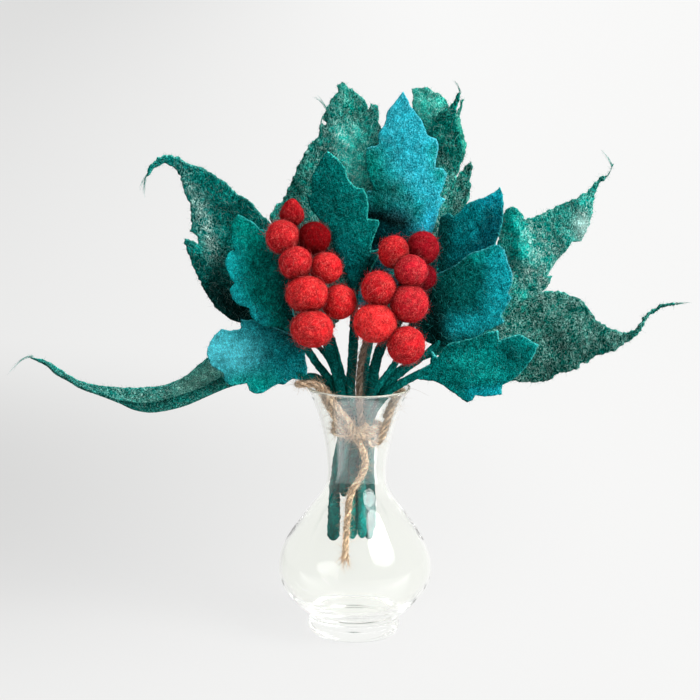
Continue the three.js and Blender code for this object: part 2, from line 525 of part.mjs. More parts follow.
// A stem from its foot, through its place in the bundle and on along its own way.
function stemOf({ ring, turn, foot, stem, girth = 1 }, grow) {
  const angle = THREE.MathUtils.degToRad(turn);
  const heights = [foot, ...BUNDLE_LEVELS.map(([height]) => height).filter((height) => height > foot)];
  const packed = heights.map((height) => {
    const [, widening, shift, radius] = packingAt(height);
    const reach = widening * RING_RADII[ring];
    const place = new THREE.Vector3(shift + reach * Math.cos(angle), reach * Math.sin(angle), height);
    return { point: place, radius: height > FREE_HEIGHT ? radius : girth * radius };
  });
  const free = stem.map(([s, t, depth, radius]) => ({ point: lay(s, t, depth), radius }));
  const stations = [...packed, ...free];
  return rod(stations.map((x) => x.point), stations.map((x) => x.radius + grow), STEM_SIDES, STEM_STEP);
}

// The middle surface of a leaf that faces the eye.
function facing({ rib, fold, cup, swells = [] }) {
  const line = smooth(rib);
  const rounding = 4;
  return (s, t) => {
    const { away, side, values } = nearestOn(line, s, t);
    const hand = side < 0 ? 0 : 1;
    let depth = values[2] + fold[hand] * (Math.hypot(away, rounding) - rounding) + cup[hand] * away ** 2;
    for (const { from, to, reach, lift } of swells) {
      depth -= lift * Math.exp(-((nearestOn([from, to], s, t).away / reach) ** 2));
    }
    return lay(s, t, depth);
  };
}

// The middle surface of the leaf that is folded like a gutter.
function guttered({ fold, rounding, lean }) {
  const line = smooth(fold);
  return (s, across) => {
    const i = THREE.MathUtils.clamp(line.findLastIndex((p) => p[0] <= s) + 1, 1, line.length - 1);
    const [a, b] = [line[i - 1], line[i]];
    const part = (s - a[0]) / (b[0] - a[0]);
    const [t, depth] = [1, 2].map((k) => THREE.MathUtils.lerp(a[k], b[k], part));
    return lay(s, t + Math.hypot(across, rounding) - rounding, depth + lean * across);
  };
}

// A leaf and its stem as one solid; its rib stands a little proud where the stem runs on into it.
function leaf(form, ribStations, spec, grow) {
  const { thickness, cell } = spec.kind;
  const blade = plate(spec.outline, form, thickness + 2 * grow, cell);
  return blade.add(stemOf({ ...spec, stem: [...spec.stem, ...ribStations] }, grow));
}

function facingLeaf(spec, grow) {
  const [base, next] = spec.rib;
  const half = [0, 1, 2].map((k) => (base[k] + next[k]) / 2);
  return leaf(facing(spec), [[...base, 2.1], [...half, 1.5]], spec, grow);
}

// ---- Vase, berries and twine --------------------------------------------------------------------

function vase() {
  const profile = [[0, 0], ...VASE_OUTSIDE, ...VASE_INSIDE, [0, 14.8]];
  const points = profile.map(([radius, height]) => new THREE.Vector2(radius, height));
  return solidOf(new THREE.LatheGeometry(points, VASE_TURNS).rotateX(Math.PI / 2));
}

function berries(balls, grow) {
  return joined(balls.map(([s, t, depth, radius, flattening]) => {
    const ball = new THREE.IcosahedronGeometry(radius + grow, 2).scale(1, 1, flattening);
    return solidOf(ball.translate(...lay(s, t, depth)));
  }));
}

function twineBinding() {
  const turns = [-1, 1].map((side) => new THREE.TorusGeometry(BINDING_RADIUS, TWINE_RADIUS, TWINE_SIDES, 24)
    .translate(-0.6, 0, BINDING_HEIGHT + side * 0.97 * TWINE_RADIUS));
  const knot = new THREE.IcosahedronGeometry(1, 2).scale(...KNOT_HALF_SIZES).translate(...KNOT_CENTRE);
  return joined([...turns, knot].map(solidOf));
}

function twine(route) {
  const points = route.map((p) => new THREE.Vector3(...p));
  return rod(points, route.map(() => TWINE_RADIUS), TWINE_SIDES, 2.4 * 2 * TWINE_RADIUS);
}

// ---- Assembly -----------------------------------------------------------------------------------

const bunch = new THREE.Group();

function addPart(name, solid, colour, roughness) {
  const material = new THREE.MeshStandardMaterial({ color: colour, roughness, metalness: 0 });
  const mesh = new THREE.Mesh(geometryOf(solid), material);
  mesh.name = name;
  bunch.add(mesh);
}

addPart("vase", vase(), "#e9efec", 0.05);

const settled = []; // what is in place, a gap larger all round, so that the next piece is cut clear of it
for (const [side, { balls }] of Object.entries(BERRY_BUNCHES)) {
  addPart(`berries_${side}`, berries(balls, 0), SCARLET, 0.95);
  settled.push(berries(balls, GAP));
}
const grown = [
  ...Object.entries(LEAVES).map(([name, spec]) => [name, spec.colour, (grow) => facingLeaf(spec, grow)]),
  ["leaf_large_lower_left", GUTTER.colour, (grow) => leaf(guttered(GUTTER), [], GUTTER, grow)],
  ...Object.entries(BERRY_BUNCHES).map(([side, spec]) =>
    [`berry_stem_${side}`, TEAL, (grow) => stemOf(spec, grow)]),
];
for (const [name, colour, make] of grown) {
  addPart(name, cutClear(make(0), settled), colour, 0.95);
  settled.push(make(GAP));
}
addPart("twine_binding", cutClear(twineBinding(), settled), JUTE, 0.9);
for (const [name, route] of Object.entries(TWINE_ROUTES)) addPart(name, twine(route), JUTE, 0.9);

export default bunch;
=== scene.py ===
import logging
import math
from dataclasses import dataclass
from enum import Enum
from typing import Any

import bpy
import numpy as np
from mathutils import Matrix, Vector
from mathutils.geometry import delaunay_2d_cdt


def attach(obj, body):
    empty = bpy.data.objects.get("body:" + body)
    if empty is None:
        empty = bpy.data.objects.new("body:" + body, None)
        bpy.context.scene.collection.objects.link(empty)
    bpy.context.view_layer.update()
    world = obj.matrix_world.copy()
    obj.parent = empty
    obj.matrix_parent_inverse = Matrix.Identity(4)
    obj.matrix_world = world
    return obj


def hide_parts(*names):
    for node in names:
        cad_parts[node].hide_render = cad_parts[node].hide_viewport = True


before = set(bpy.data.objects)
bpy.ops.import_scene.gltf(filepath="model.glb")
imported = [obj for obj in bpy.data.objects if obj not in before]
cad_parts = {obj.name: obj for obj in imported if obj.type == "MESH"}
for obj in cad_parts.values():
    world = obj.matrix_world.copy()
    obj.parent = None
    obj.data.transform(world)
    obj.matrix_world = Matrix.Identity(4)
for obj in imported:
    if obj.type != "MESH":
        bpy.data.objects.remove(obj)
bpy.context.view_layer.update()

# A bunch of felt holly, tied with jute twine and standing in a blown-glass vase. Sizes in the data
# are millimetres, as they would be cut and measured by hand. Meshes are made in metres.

LOG = logging.getLogger("holly")
MM = 0.001
Array = np.ndarray
Colour = tuple[float, float, float]
Points = list[tuple[float, ...]]


# ---- Small mathematics ---------------------------------------------------------------------------

def linear(code: str) -> Colour:
    """Turn an sRGB hex value such as "#0d6a66" to linear red, green and blue."""
    shares = [int(code[i:i + 2], 16) / 255 for i in (1, 3, 5)]
    return tuple(c / 12.92 if c <= 0.04045 else ((c + 0.055) / 1.055) ** 2.4 for c in shares)


def unit(vectors: Array) -> Array:
    """Scale vectors to a length of one."""
    return vectors / np.maximum(np.linalg.norm(vectors, axis=-1, keepdims=True), 1e-12)


def smooth_line(stations: Points | Array, per_span: int = 24) -> Array:
    """Run a smooth line through stations.

    Args:
        stations: Points whose first three values are a place; further values are carried along.
        per_span: Steps between two stations.

    Returns:
        The points of the line, one row each.
    """
    given = np.asarray(stations, float)
    padded = np.vstack([2 * given[0] - given[1], given, 2 * given[-1] - given[-2]])
    gaps = np.sqrt(np.linalg.norm(np.diff(padded[:, :3], axis=0), axis=1))
    u = np.linspace(0, 1, per_span, endpoint=False)[:, None]
    spans = []
    for i in range(len(given) - 1):
        (a, b, c, d), (g0, g1, g2) = padded[i:i + 4], gaps[i:i + 3]
        start = ((b - a) / g0 - (c - a) / (g0 + g1) + (c - b) / g1) * g1
        end = ((c - b) / g1 - (d - b) / (g1 + g2) + (d - c) / g2) * g1
        spans.append(hermite(b, start, c, end, u))
    return np.vstack([*spans, given[-1:]])


def hermite(a: Array, start: Array, b: Array, end: Array, u: Array) -> Array:
    """Blend from a to b with the given slopes at both ends, at the shares u."""
    return ((2 * u**3 - 3 * u**2 + 1) * a + (u**3 - 2 * u**2 + u) * start
            + (3 * u**2 - 2 * u**3) * b + (u**3 - u**2) * end)


def respaced(line: Array, step: float) -> Array:
    """Space the points of a line evenly, about a step apart."""
    gaps = np.linalg.norm(np.diff(line[:, :3], axis=0), axis=1)
    along = np.concatenate([[0], np.cumsum(gaps)])
    wanted = np.linspace(0, along[-1], max(3, round(along[-1] / step) + 1))
    return np.stack([np.interp(wanted, along, column) for column in line.T], axis=1)


def ripple(places: Array, wavelength: float, rng: np.random.Generator, waves: int = 14) -> Array:
    """Give soft random waves over places.

    Args:
        places: Points in a plane or in space, one row each.
        wavelength: The typical length of a wave.
        rng: Where the random draws come from.
        waves: How many waves are laid over each other.

    Returns:
        One value for each point, mostly between -1 and 1.
    """
    ways = unit(rng.normal(size=(waves, places.shape[1])))
    pitch = 2 * math.pi / (wavelength * rng.uniform(0.7, 1.6, waves))
    phases = rng.uniform(0, 2 * math.pi, waves)
    return np.sin((places @ ways.T) * pitch + phases).sum(axis=1) / math.sqrt(waves / 2)


@dataclass(frozen=True)
class Nearest:
    """What a line says at the points nearest to the asked places."""

    away: Array
    side: Array
    values: Array


def nearest_on(line: Array, places: Array) -> Nearest:
    """Find the nearest points of a line.

    Args:
        line: Points whose first two values are a place on the sheet.
        places: The asked places on the sheet.

    Returns:
        How far away the line is, on which hand (-1 left, 1 right), and its values there.
    """
    starts, steps = line[:-1], np.diff(line, axis=0)
    lengths = np.linalg.norm(steps[:, :2], axis=1)
    found = []
    for block in np.array_split(places, max(1, len(places) // 2000)):
        gone = block[:, None] - starts[None, :, :2]
        share = np.clip((gone * steps[:, :2]).sum(-1) / lengths**2, 0, 1)
        rest = gone - share[..., None] * steps[:, :2]
        away = np.linalg.norm(rest, axis=-1)
        pick = away.argmin(axis=1)
        rows = np.arange(len(block))
        turn = gone[rows, pick, 0] * steps[pick, 1] - gone[rows, pick, 1] * steps[pick, 0]
        values = starts[pick] + share[rows, pick][:, None] * steps[pick]
        found.append((away[rows, pick], np.sign(turn), values))
    return Nearest(*[np.concatenate(parts) for parts in zip(*found)])


# ---- The sheet that the bunch is drawn on --------------------------------------------------------

@dataclass(frozen=True)
class Sheet:
    """An upright sheet through the vase's axis, square to the sight of an eye in front of it.

    The leaves and berries are drawn on it. Each point then slides along its own line of sight to
    the depth that its piece has there, behind the sheet (+) or in front of it (-).
    """

    eye_distance: float = 1833
    eye_rise: float = math.radians(10.6)
    roll: float = math.radians(1.1)
    centre: tuple[float, float, float] = (-6.1, 0, 194.6)

    def axes(self) -> tuple[Array, Array, Array]:
        """Give the sheet's right and up and the eye's sight, as unit vectors."""
        across = np.array([1.0, 0, 0])
        rise = np.array([0, math.sin(self.eye_rise), math.cos(self.eye_rise)])
        sight = np.array([0, math.cos(self.eye_rise), -math.sin(self.eye_rise)])
        cos, sin = math.cos(self.roll), math.sin(self.roll)
        return cos * across + sin * rise, cos * rise - sin * across, sight

    def lay(self, drawn: Array) -> Array:
        """Bring drawn points (s, t, depth) to their places in space."""
        right, up, sight = self.axes()
        s, t, depth = np.moveaxis(np.asarray(drawn, float), -1, 0)[..., None]
        return np.array(self.centre) + (s * right + t * up) * (1 + depth / self.eye_distance) + depth * sight


SHEET = Sheet()


# ---- Meshes and pieces ---------------------------------------------------------------------------

class Slot(Enum):
    """The record's material slots."""

    GLASS = "glass"
    BERRY = "berry_felt"
    LEAF = "leaf_felt"
    FINE_LEAF = "fine_leaf_felt"
    STEM = "stem_felt"
    JUTE = "jute"


@dataclass
class Shell:
    """The points (mm), faces and dyes of a mesh in the making."""

    points: Array
    faces: list[list[int]]
    dyes: Array | None = None

    @classmethod
    def joined(cls, shells: list["Shell"]) -> "Shell":
        """Put several shells into one."""
        faces, count = [], 0
        for shell in shells:
            faces += (shell.faces if count == 0 else [[i + count for i in face] for face in shell.faces])
            count += len(shell.points)
        dyes = None if shells[0].dyes is None else np.vstack([shell.dyes for shell in shells])
        return cls(np.vstack([shell.points for shell in shells]), faces, dyes)

    def piece(self, name: str) -> bpy.types.Object:
        """Make the shell an object in metres, shaded smooth, with its dyes as an attribute."""
        mesh = bpy.data.meshes.new(name)
        mesh.from_pydata((self.points * MM).tolist(), [], self.faces)
        mesh.update()
        piece = bpy.data.objects.new(name, mesh)
        bpy.context.scene.collection.objects.link(piece)
        mesh.shade_smooth()
        if self.dyes is not None:
            paint(piece, self.dyes)
        return piece


def paint(piece: bpy.types.Object, dyes: Array) -> None:
    """Give each point of a piece its dye.

    Args:
        piece: The object.
        dyes: A colour for each point. A fourth value says how much pale fibre lies in felt. On
        glass the colour is the share of the mirror, and the fourth value that of the painted lip highlight.
    """
    if dyes.shape[1] == 3:
        dyes = np.column_stack([dyes, np.ones(len(dyes))])
    layer = piece.data.attributes.new("dye", "FLOAT_COLOR", "POINT")
    layer.data.foreach_set("color", dyes.ravel())


def select_only(piece: bpy.types.Object) -> None:
    """Deselect everything and make one piece selected and active."""
    bpy.ops.object.select_all(action="DESELECT")
    piece.select_set(True)
    bpy.context.view_layer.objects.active = piece


def apply_modifier(piece: bpy.types.Object, kind: str, **settings: Any) -> None:
    """Add a modifier with its settings and apply it."""
    modifier = piece.modifiers.new(kind.title(), kind)
    for key, value in settings.items():
        setattr(modifier, key, value)
    select_only(piece)
    bpy.ops.object.modifier_apply(modifier=modifier.name)


def settle(piece: bpy.types.Object, slot: Slot, nodes: list[str], *finishes: bpy.types.Material) -> None:
    """Dress a finished piece, let it ride on the object and stand for its CAD nodes.

    Args:
        piece: The finished object.
        slot: The record slot of its finish; not used.
        nodes: The CAD nodes that it stands for.
        finishes: Its materials, in the order of its material slots.
    """
    piece.data.materials.clear()
    for finish in finishes:
        piece.data.materials.append(finish)
    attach(piece, "root")
    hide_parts(*nodes)
    LOG.info("%s: %d faces", piece.name, len(piece.data.polygons))


def carried_axes(line: Array, hint: tuple[float, float, float]) -> tuple[Array, Array, Array]:
    """Carry two axes that are square to a line along it, without a twist.

    Args:
        line: The points of the line, one row each.
        hint: Any direction in which the line doesn't start. It settles the first axis.

    Returns:
        The line's tangents and the two axes, one row for each point.
    """
    tangents = unit(np.gradient(line, axis=0))
    normal = unit(np.cross(tangents[0], hint))
    normals = []
    for tangent in tangents:
        normal = unit(normal - tangent * (normal @ tangent))
        normals.append(normal)
    normals = np.array(normals)
    return tangents, normals, np.cross(tangents, normals)


def tube(line: Array, sides: int, relief: float, rng: np.random.Generator) -> Shell:
    """Skin a line with a closed round tube.

    Args:
        line: Its points, with the radius as the fourth value.
        sides: How many sides it has.
        relief: The share of the radius by which the surface rises and falls at random.
        rng: Where the random draws come from.

    Returns:
        The tube.
    """
    lumps, grain = 3.2, 1.3  # wavelengths of the relief in millimetres
    centres, radii = line[:, :3], line[:, 3]
    _, normals, binormals = carried_axes(centres, (0.31, 0.2, -0.93))
    turns = np.arange(sides) * 2 * math.pi / sides
    rim = np.cos(turns)[None, :, None] * normals[:, None] + np.sin(turns)[None, :, None] * binormals[:, None]
    reach = np.repeat(radii[:, None], sides, axis=1)
    points = centres[:, None] + reach[..., None] * rim
    flat = points.reshape(-1, 3)
    wave = ripple(flat, lumps, rng) + 0.7 * ripple(flat, grain, rng)
    points += (relief * reach * wave.reshape(reach.shape))[..., None] * rim
    index = np.arange(len(line) * sides).reshape(len(line), sides)
    beside = np.roll(index, -1, axis=1)
    walls = np.stack([index[:-1], beside[:-1], beside[1:], index[1:]], axis=-1).reshape(-1, 4)
    ends = [index[0, ::-1].tolist(), index[-1].tolist()]
    return Shell(points.reshape(-1, 3), walls.tolist() + ends)


def fibres(paths: Array, radii: Array, dyes: Array) -> Shell:
    """Make thin three-sided fibres that taper to their tips.

    Args:
        paths: The points of each fibre, as (fibre, step, 3).
        radii: The radius of each at its root.
        dyes: The colour of each.

    Returns:
        All the fibres as one shell.
    """
    count, steps = paths.shape[:2]
    tangents = unit(np.gradient(paths, axis=1))
    middle = tangents[:, steps // 2]
    reference = np.where(np.abs(middle[:, 2:]) < 0.8, [[0.0, 0, 1]], [[1.0, 0, 0]])
    across = unit(np.cross(tangents, reference[:, None]))
    up = np.cross(tangents, across)
    reach = radii[:, None] * np.linspace(1, 0.25, steps)[None]
    turns = np.arange(3) * 2 * math.pi / 3
    points = (paths[:, :, None] + reach[:, :, None, None] * (
        np.cos(turns)[None, None, :, None] * across[:, :, None]
        + np.sin(turns)[None, None, :, None] * up[:, :, None]))
    index = np.arange(count * steps * 3).reshape(count, steps, 3)
    beside = np.roll(index, -1, axis=2)
    walls = np.stack([index[:, :-1], beside[:, :-1], beside[:, 1:], index[:, 1:]], axis=-1).reshape(-1, 4)
    ends = np.concatenate([index[:, 0, ::-1], index[:, -1]])
    return Shell(points.reshape(-1, 3), walls.tolist() + ends.tolist(), np.repeat(dyes, steps * 3, axis=0))


def loose_paths(starts: Array, ways: Array, lengths: Array, curl: float, rng: np.random.Generator,
                steps: int = 4) -> Array:
    """Lay out loose fibres that curl to one side.

    Args:
        starts: Where each fibre leaves the felt.
        ways: The direction in which it leaves.
        lengths: How long each is.
        curl: How far it bends aside, as a share of its length.
        rng: Where the random draws come from.
        steps: Points on each fibre.

    Returns:
        The fibres' points, as (fibre, step, 3).
    """
    ways = unit(ways)
    aside = unit(np.cross(ways, rng.normal(size=ways.shape)))
    u = np.linspace(0, 1, steps)[None, :, None]
    bend = (curl * rng.normal(size=len(starts)))[:, None, None]
    return starts[:, None] + lengths[:, None, None] * (u * ways[:, None] + bend * u**2 * aside[:, None])


# ---- Finishes ------------------------------------------------------------------------------------

Value = float | bpy.types.NodeSocket


class Graph:
    """The nodes of a finish or a sky in the making.

    A Mix node's inputs 2 and 3 are its two numbers, and 6 and 7 are its two colours. The vector
    that a VectorMath node scales is its input 0, and the scale is its input 3.
    """

    def __init__(self, tree: bpy.types.NodeTree) -> None:
        """Work on the given tree."""
        self.tree = tree

    def add(self, kind: str, inputs: dict[int | str, Any] | None = None, **settings: Any) -> bpy.types.Node:
        """Add a node with its settings and links.

        Args:
            kind: Its type, without the word ShaderNode.
            inputs: For an input's name or number, its value or the output that is linked to it.
            settings: The node's own settings.

        Returns:
            The node.
        """
        made = self.tree.nodes.new("ShaderNode" + kind)
        for key, value in settings.items():
            setattr(made, key, value)
        for key, value in (inputs or {}).items():
            if isinstance(value, bpy.types.NodeSocket):
                self.tree.links.new(value, made.inputs[key])
            else:
                made.inputs[key].default_value = value
        return made

    def math(self, operation: str, *values: Value, **settings: Any) -> bpy.types.NodeSocket:
        """Work out one sum and give its result."""
        return self.add("Math", dict(enumerate(values)), operation=operation, **settings).outputs[0]

    def remap(self, value: Value, low: float = 0, high: float = 1, at_low: Value = 0,
              at_high: Value = 1, **settings: Any) -> bpy.types.NodeSocket:
        """Bring a value that runs from low to high to the range from at_low to at_high."""
        inputs = {"Value": value, 1: low, 2: high, 3: at_low, 4: at_high}
        return self.add("MapRange", inputs, **settings).outputs[0]

    def noise(self, place: bpy.types.NodeSocket, scale: float, **inputs: float) -> bpy.types.NodeSocket:
        """Lay noise over places; the scale is in cells for each metre."""
        return self.add("TexNoise", {"Vector": place, "Scale": scale, **inputs}).outputs[0]

    def scaled(self, colour: bpy.types.NodeSocket, tone: Value) -> bpy.types.NodeSocket:
        """Make a colour lighter or darker."""
        return self.add("VectorMath", {0: colour, 3: tone}, operation="SCALE").outputs[0]

    def place(self) -> bpy.types.NodeSocket:
        """Give the place on the object, in metres."""
        return self.add("TexCoord").outputs["Object"]

    def dye(self) -> bpy.types.bpy_prop_collection:
        """Give the outputs of the dye that the points carry."""
        return self.add("Attribute", attribute_name="dye").outputs

    def show(self, shader: bpy.types.Node) -> None:
        """Show a shader on the surface."""
        self.add("OutputMaterial", {"Surface": shader.outputs[0]})


def new_finish(name: str) -> tuple[bpy.types.Material, Graph]:
    """Make an empty node material and give it with its graph."""
    finish = bpy.data.materials.new(name)
    finish.use_nodes = True
    finish.node_tree.nodes.clear()
    return finish, Graph(finish.node_tree)


def full(code: str) -> tuple[float, float, float, float]:
    """Turn an sRGB hex value to a linear colour with an alpha of one."""
    return (*linear(code), 1)


@dataclass(frozen=True)
class WoolFelt:
    """Wool felt: dyed fibres that lie in all directions, with paler and darker ones among them.

    Light sinks in between the fibres, so it looks matt and deep. Single fibres are about 0.03 mm
    thick, too fine to show, so the pattern is coarser than the real one: it has locks of a few
    together. pale_share says how strongly the pale locks cover the dye where the dye's alpha is
    one, and bare what is left of them where they are thinnest. lock_width and depth are millimetres.
    The dye's darkest and lightest tones are shade and lighten. grain is the share of fine specks
    among the locks, and curl_width how wide the line of a lock is in its noise. Each of the layers
    has its turn and the size of its cells, which is in lock widths, as speck_size is.
    """

    name: str
    pale: str
    pale_share: float
    lock_width: float
    depth: float
    shade: float
    lighten: float
    grain: float
    bare: float = 0.4
    curl_width: float = 0.045
    layers: tuple[tuple[tuple[float, float, float], float], ...] = (
        ((0.3, 0.9, 0.2), 2.9), ((1.2, -0.5, 1.9), 2.2))
    speck_size: float = 1.3
    mean_tone: float = 1.15

    def make(self) -> bpy.types.Material:
        """Make the material."""
        finish, graph = new_finish(self.name)
        dye, place = graph.dye(), graph.place()
        locks = self.locks(graph, place)
        specks = graph.noise(place, 1 / (self.speck_size * self.lock_width * MM), Detail=0, Distortion=0.5)
        grit = graph.remap(specks, 0.34, 0.66)
        salt = graph.math("MULTIPLY_ADD", grit, self.grain, locks)
        tone = graph.remap(salt, 0.05, 1 + 0.6 * self.grain, self.shade, self.lighten)
        # A light dye shows less contrast between its fibres than a deep one.
        light = graph.add("RGBToBW", {0: dye["Color"]}).outputs[0]
        calm = graph.remap(light, 0.1, 0.45, 0, 0.6)
        tone = graph.add("Mix", {0: calm, 2: tone, 3: self.mean_tone}).outputs[0]
        clumps = graph.noise(place, 200, Detail=3, Roughness=0.6)
        where = graph.remap(clumps, 0.36, 0.6, self.bare)
        frost = graph.math("MULTIPLY", dye["Alpha"], self.pale_share)
        pale = graph.math("MULTIPLY", graph.math("MULTIPLY", locks, where), frost, use_clamp=True)
        colour = graph.add("Mix", {0: pale, 6: graph.scaled(dye["Color"], tone), 7: full(self.pale)},
                           data_type="RGBA")
        bump = graph.add("Bump", {"Strength": 0.6, "Distance": self.depth * MM, "Height": grit})
        graph.show(graph.add("BsdfPrincipled", {
            "Base Color": colour.outputs[2], "Roughness": 0.95, "Specular IOR Level": 0.0,
            "Normal": bump.outputs[0]}))
        return finish

    def locks(self, graph: Graph, place: bpy.types.NodeSocket) -> bpy.types.NodeSocket:
        """Draw curled locks: the lines along which a noise crosses its middle value."""
        most = None
        for turn, size in self.layers:
            laid = graph.add("Mapping", {"Vector": place, "Rotation": turn, "Scale": (1, 1, 0.6)})
            noise = graph.noise(laid.outputs[0], 1 / (size * self.lock_width * MM), Detail=0, Distortion=1.1)
            ridge = graph.math("ABSOLUTE", graph.math("SUBTRACT", noise, 0.5))
            curls = graph.remap(ridge, 0, self.curl_width, 1, 0)
            most = curls if most is None else graph.math("MAXIMUM", most, curls)
        return most


@dataclass(frozen=True)
class LooseFibre:
    """Single fibres that stand out of felt or twine, thin and matt, in the dye of what they leave."""

    name: str = "Loose fibres"

    def make(self) -> bpy.types.Material:
        """Make the material."""
        finish, graph = new_finish(self.name)
        tone = graph.remap(graph.noise(graph.place(), 600), at_low=0.8, at_high=1.2)
        graph.show(graph.add("BsdfPrincipled", {
            "Base Color": graph.scaled(graph.dye()["Color"], tone), "Roughness": 0.8,
            "Specular IOR Level": 0.25}))
        return finish


@dataclass(frozen=True)
class BlownGlass:
    """Clear soda-lime glass, blown: smooth and colourless, a little green where it is thick."""

    name: str = "Blown soda-lime glass"
    tint: str = "#fdfefb"
    # the colour of the painted highlight on the lip
    lip: str = "#f2f4e2"
    ior: float = 1.4

    def make(self) -> bpy.types.Material:
        """Make the material."""
        finish, graph = new_finish(self.name)
        dye = graph.dye()
        swirl = graph.noise(graph.place(), 28, Detail=1, Distortion=0.6)
        bump = graph.add("Bump", {"Strength": 0.12, "Distance": 0.4 * MM, "Height": swirl})
        # The dye is how strongly the glass mirrors there, and its alpha how much painted lip highlight it
        # has.
        clear = graph.add("BsdfPrincipled", {
            "Base Color": full(self.tint), "Roughness": 0.0, "IOR": self.ior,
            "Specular Tint": dye["Color"], "Transmission Weight": 1.0, "Normal": bump.outputs[0]})
        # A pale diffuse band is a painted highlight: it stands for the thin bright line of the fire-polished
        # lip.
        lip_highlight = graph.add("BsdfDiffuse", {"Color": full(self.lip)})
        graph.show(graph.add("MixShader", {0: dye["Alpha"], 1: clear.outputs[0], 2: lip_highlight.outputs[0]}))
        return finish


@dataclass(frozen=True)
class SpunJute:
    """Jute yarn, spun and twisted: tan bast fibres along each strand, some bleached, some dark."""

    name: str = "Spun jute twine"
    tan: str = "#e9cbaa"
    dark: str = "#957656"
    straw: str = "#fff8e6"

    def make(self) -> bpy.types.Material:
        """Make the material."""
        finish, graph = new_finish(self.name)
        bast = graph.noise(graph.place(), 900, Detail=3, Distortion=1.2)
        ramp = graph.add("ValToRGB", {0: bast})
        stops = ramp.color_ramp.elements
        stops[0].position, stops[0].color = 0.3, full(self.dark)
        stops[1].position, stops[1].color = 0.72, full(self.straw)
        stops.new(0.5).color = full(self.tan)
        colour = graph.add("Mix", {0: 1.0, 6: ramp.outputs[0], 7: graph.dye()["Color"]},
                           data_type="RGBA", blend_type="MULTIPLY")
        bump = graph.add("Bump", {"Strength": 0.7, "Distance": 0.3 * MM, "Height": bast})
        graph.show(graph.add("BsdfPrincipled", {
            "Base Color": colour.outputs[2], "Roughness": 0.88, "Specular IOR Level": 0.2,
            "Sheen Weight": 0.2, "Sheen Roughness": 0.4, "Normal": bump.outputs[0]}))
        return finish


@dataclass(frozen=True)
class Finishes:
    """The finishes of the whole bunch."""

    cut_felt: bpy.types.Material
    cut_edge: bpy.types.Material
    wet_felt: bpy.types.Material
    stem_felt: bpy.types.Material
    ball_felt: bpy.types.Material
    fibre: bpy.types.Material
    jute: bpy.types.Material
    glass: bpy.types.Material

    @classmethod
    def make(cls) -> "Finishes":
        """Make them all."""
        # Cut from a thick sheet of felt: even and dense, with a few pale locks on the dye.
        cut_felt = WoolFelt("Thick wool felt, cut", "#8fdce8", pale_share=0.34, lock_width=0.66, depth=0.35,
                            shade=0.46, lighten=3.3, grain=0.35)
        # The cut edge of that sheet: its fibres are cut through, so it looks smoother.
        cut_edge = WoolFelt("Thick wool felt, cut edge", "#8fdce8", pale_share=0.2, lock_width=0.6,
                            depth=0.3, shade=0.6, lighten=2.2, grain=0.3)
        # Wool felted wet: thin and open, with pale locks that show on the deep green.
        wet_felt = WoolFelt("Fine wool felt, felted wet", "#ccf0e6", pale_share=0.85, lock_width=0.8,
                            depth=0.35, shade=0.4, lighten=4.2, grain=0.3, bare=0.05, curl_width=0.04)
        # Wool wrapped round a wire: almost of one colour.
        stem_felt = WoolFelt("Wool felt wrapped on wire", "#3fb8ae", pale_share=0.1, lock_width=0.7,
                             depth=0.3, shade=0.5, lighten=2.6, grain=0.3)
        # Wool felted with a needle to a firm ball: even, with lighter fibres in it.
        ball_felt = WoolFelt("Felt ball, needle felted", "#ff9080", pale_share=0.4, lock_width=0.62,
                             depth=0.25, shade=0.7, lighten=1.65, grain=0.35, bare=0.3)
        return cls(*(kind.make() for kind in (cut_felt, cut_edge, wet_felt, stem_felt, ball_felt,
                                              LooseFibre(), SpunJute(), BlownGlass())))


# ---- Twine ---------------------------------------------------------------------------------------

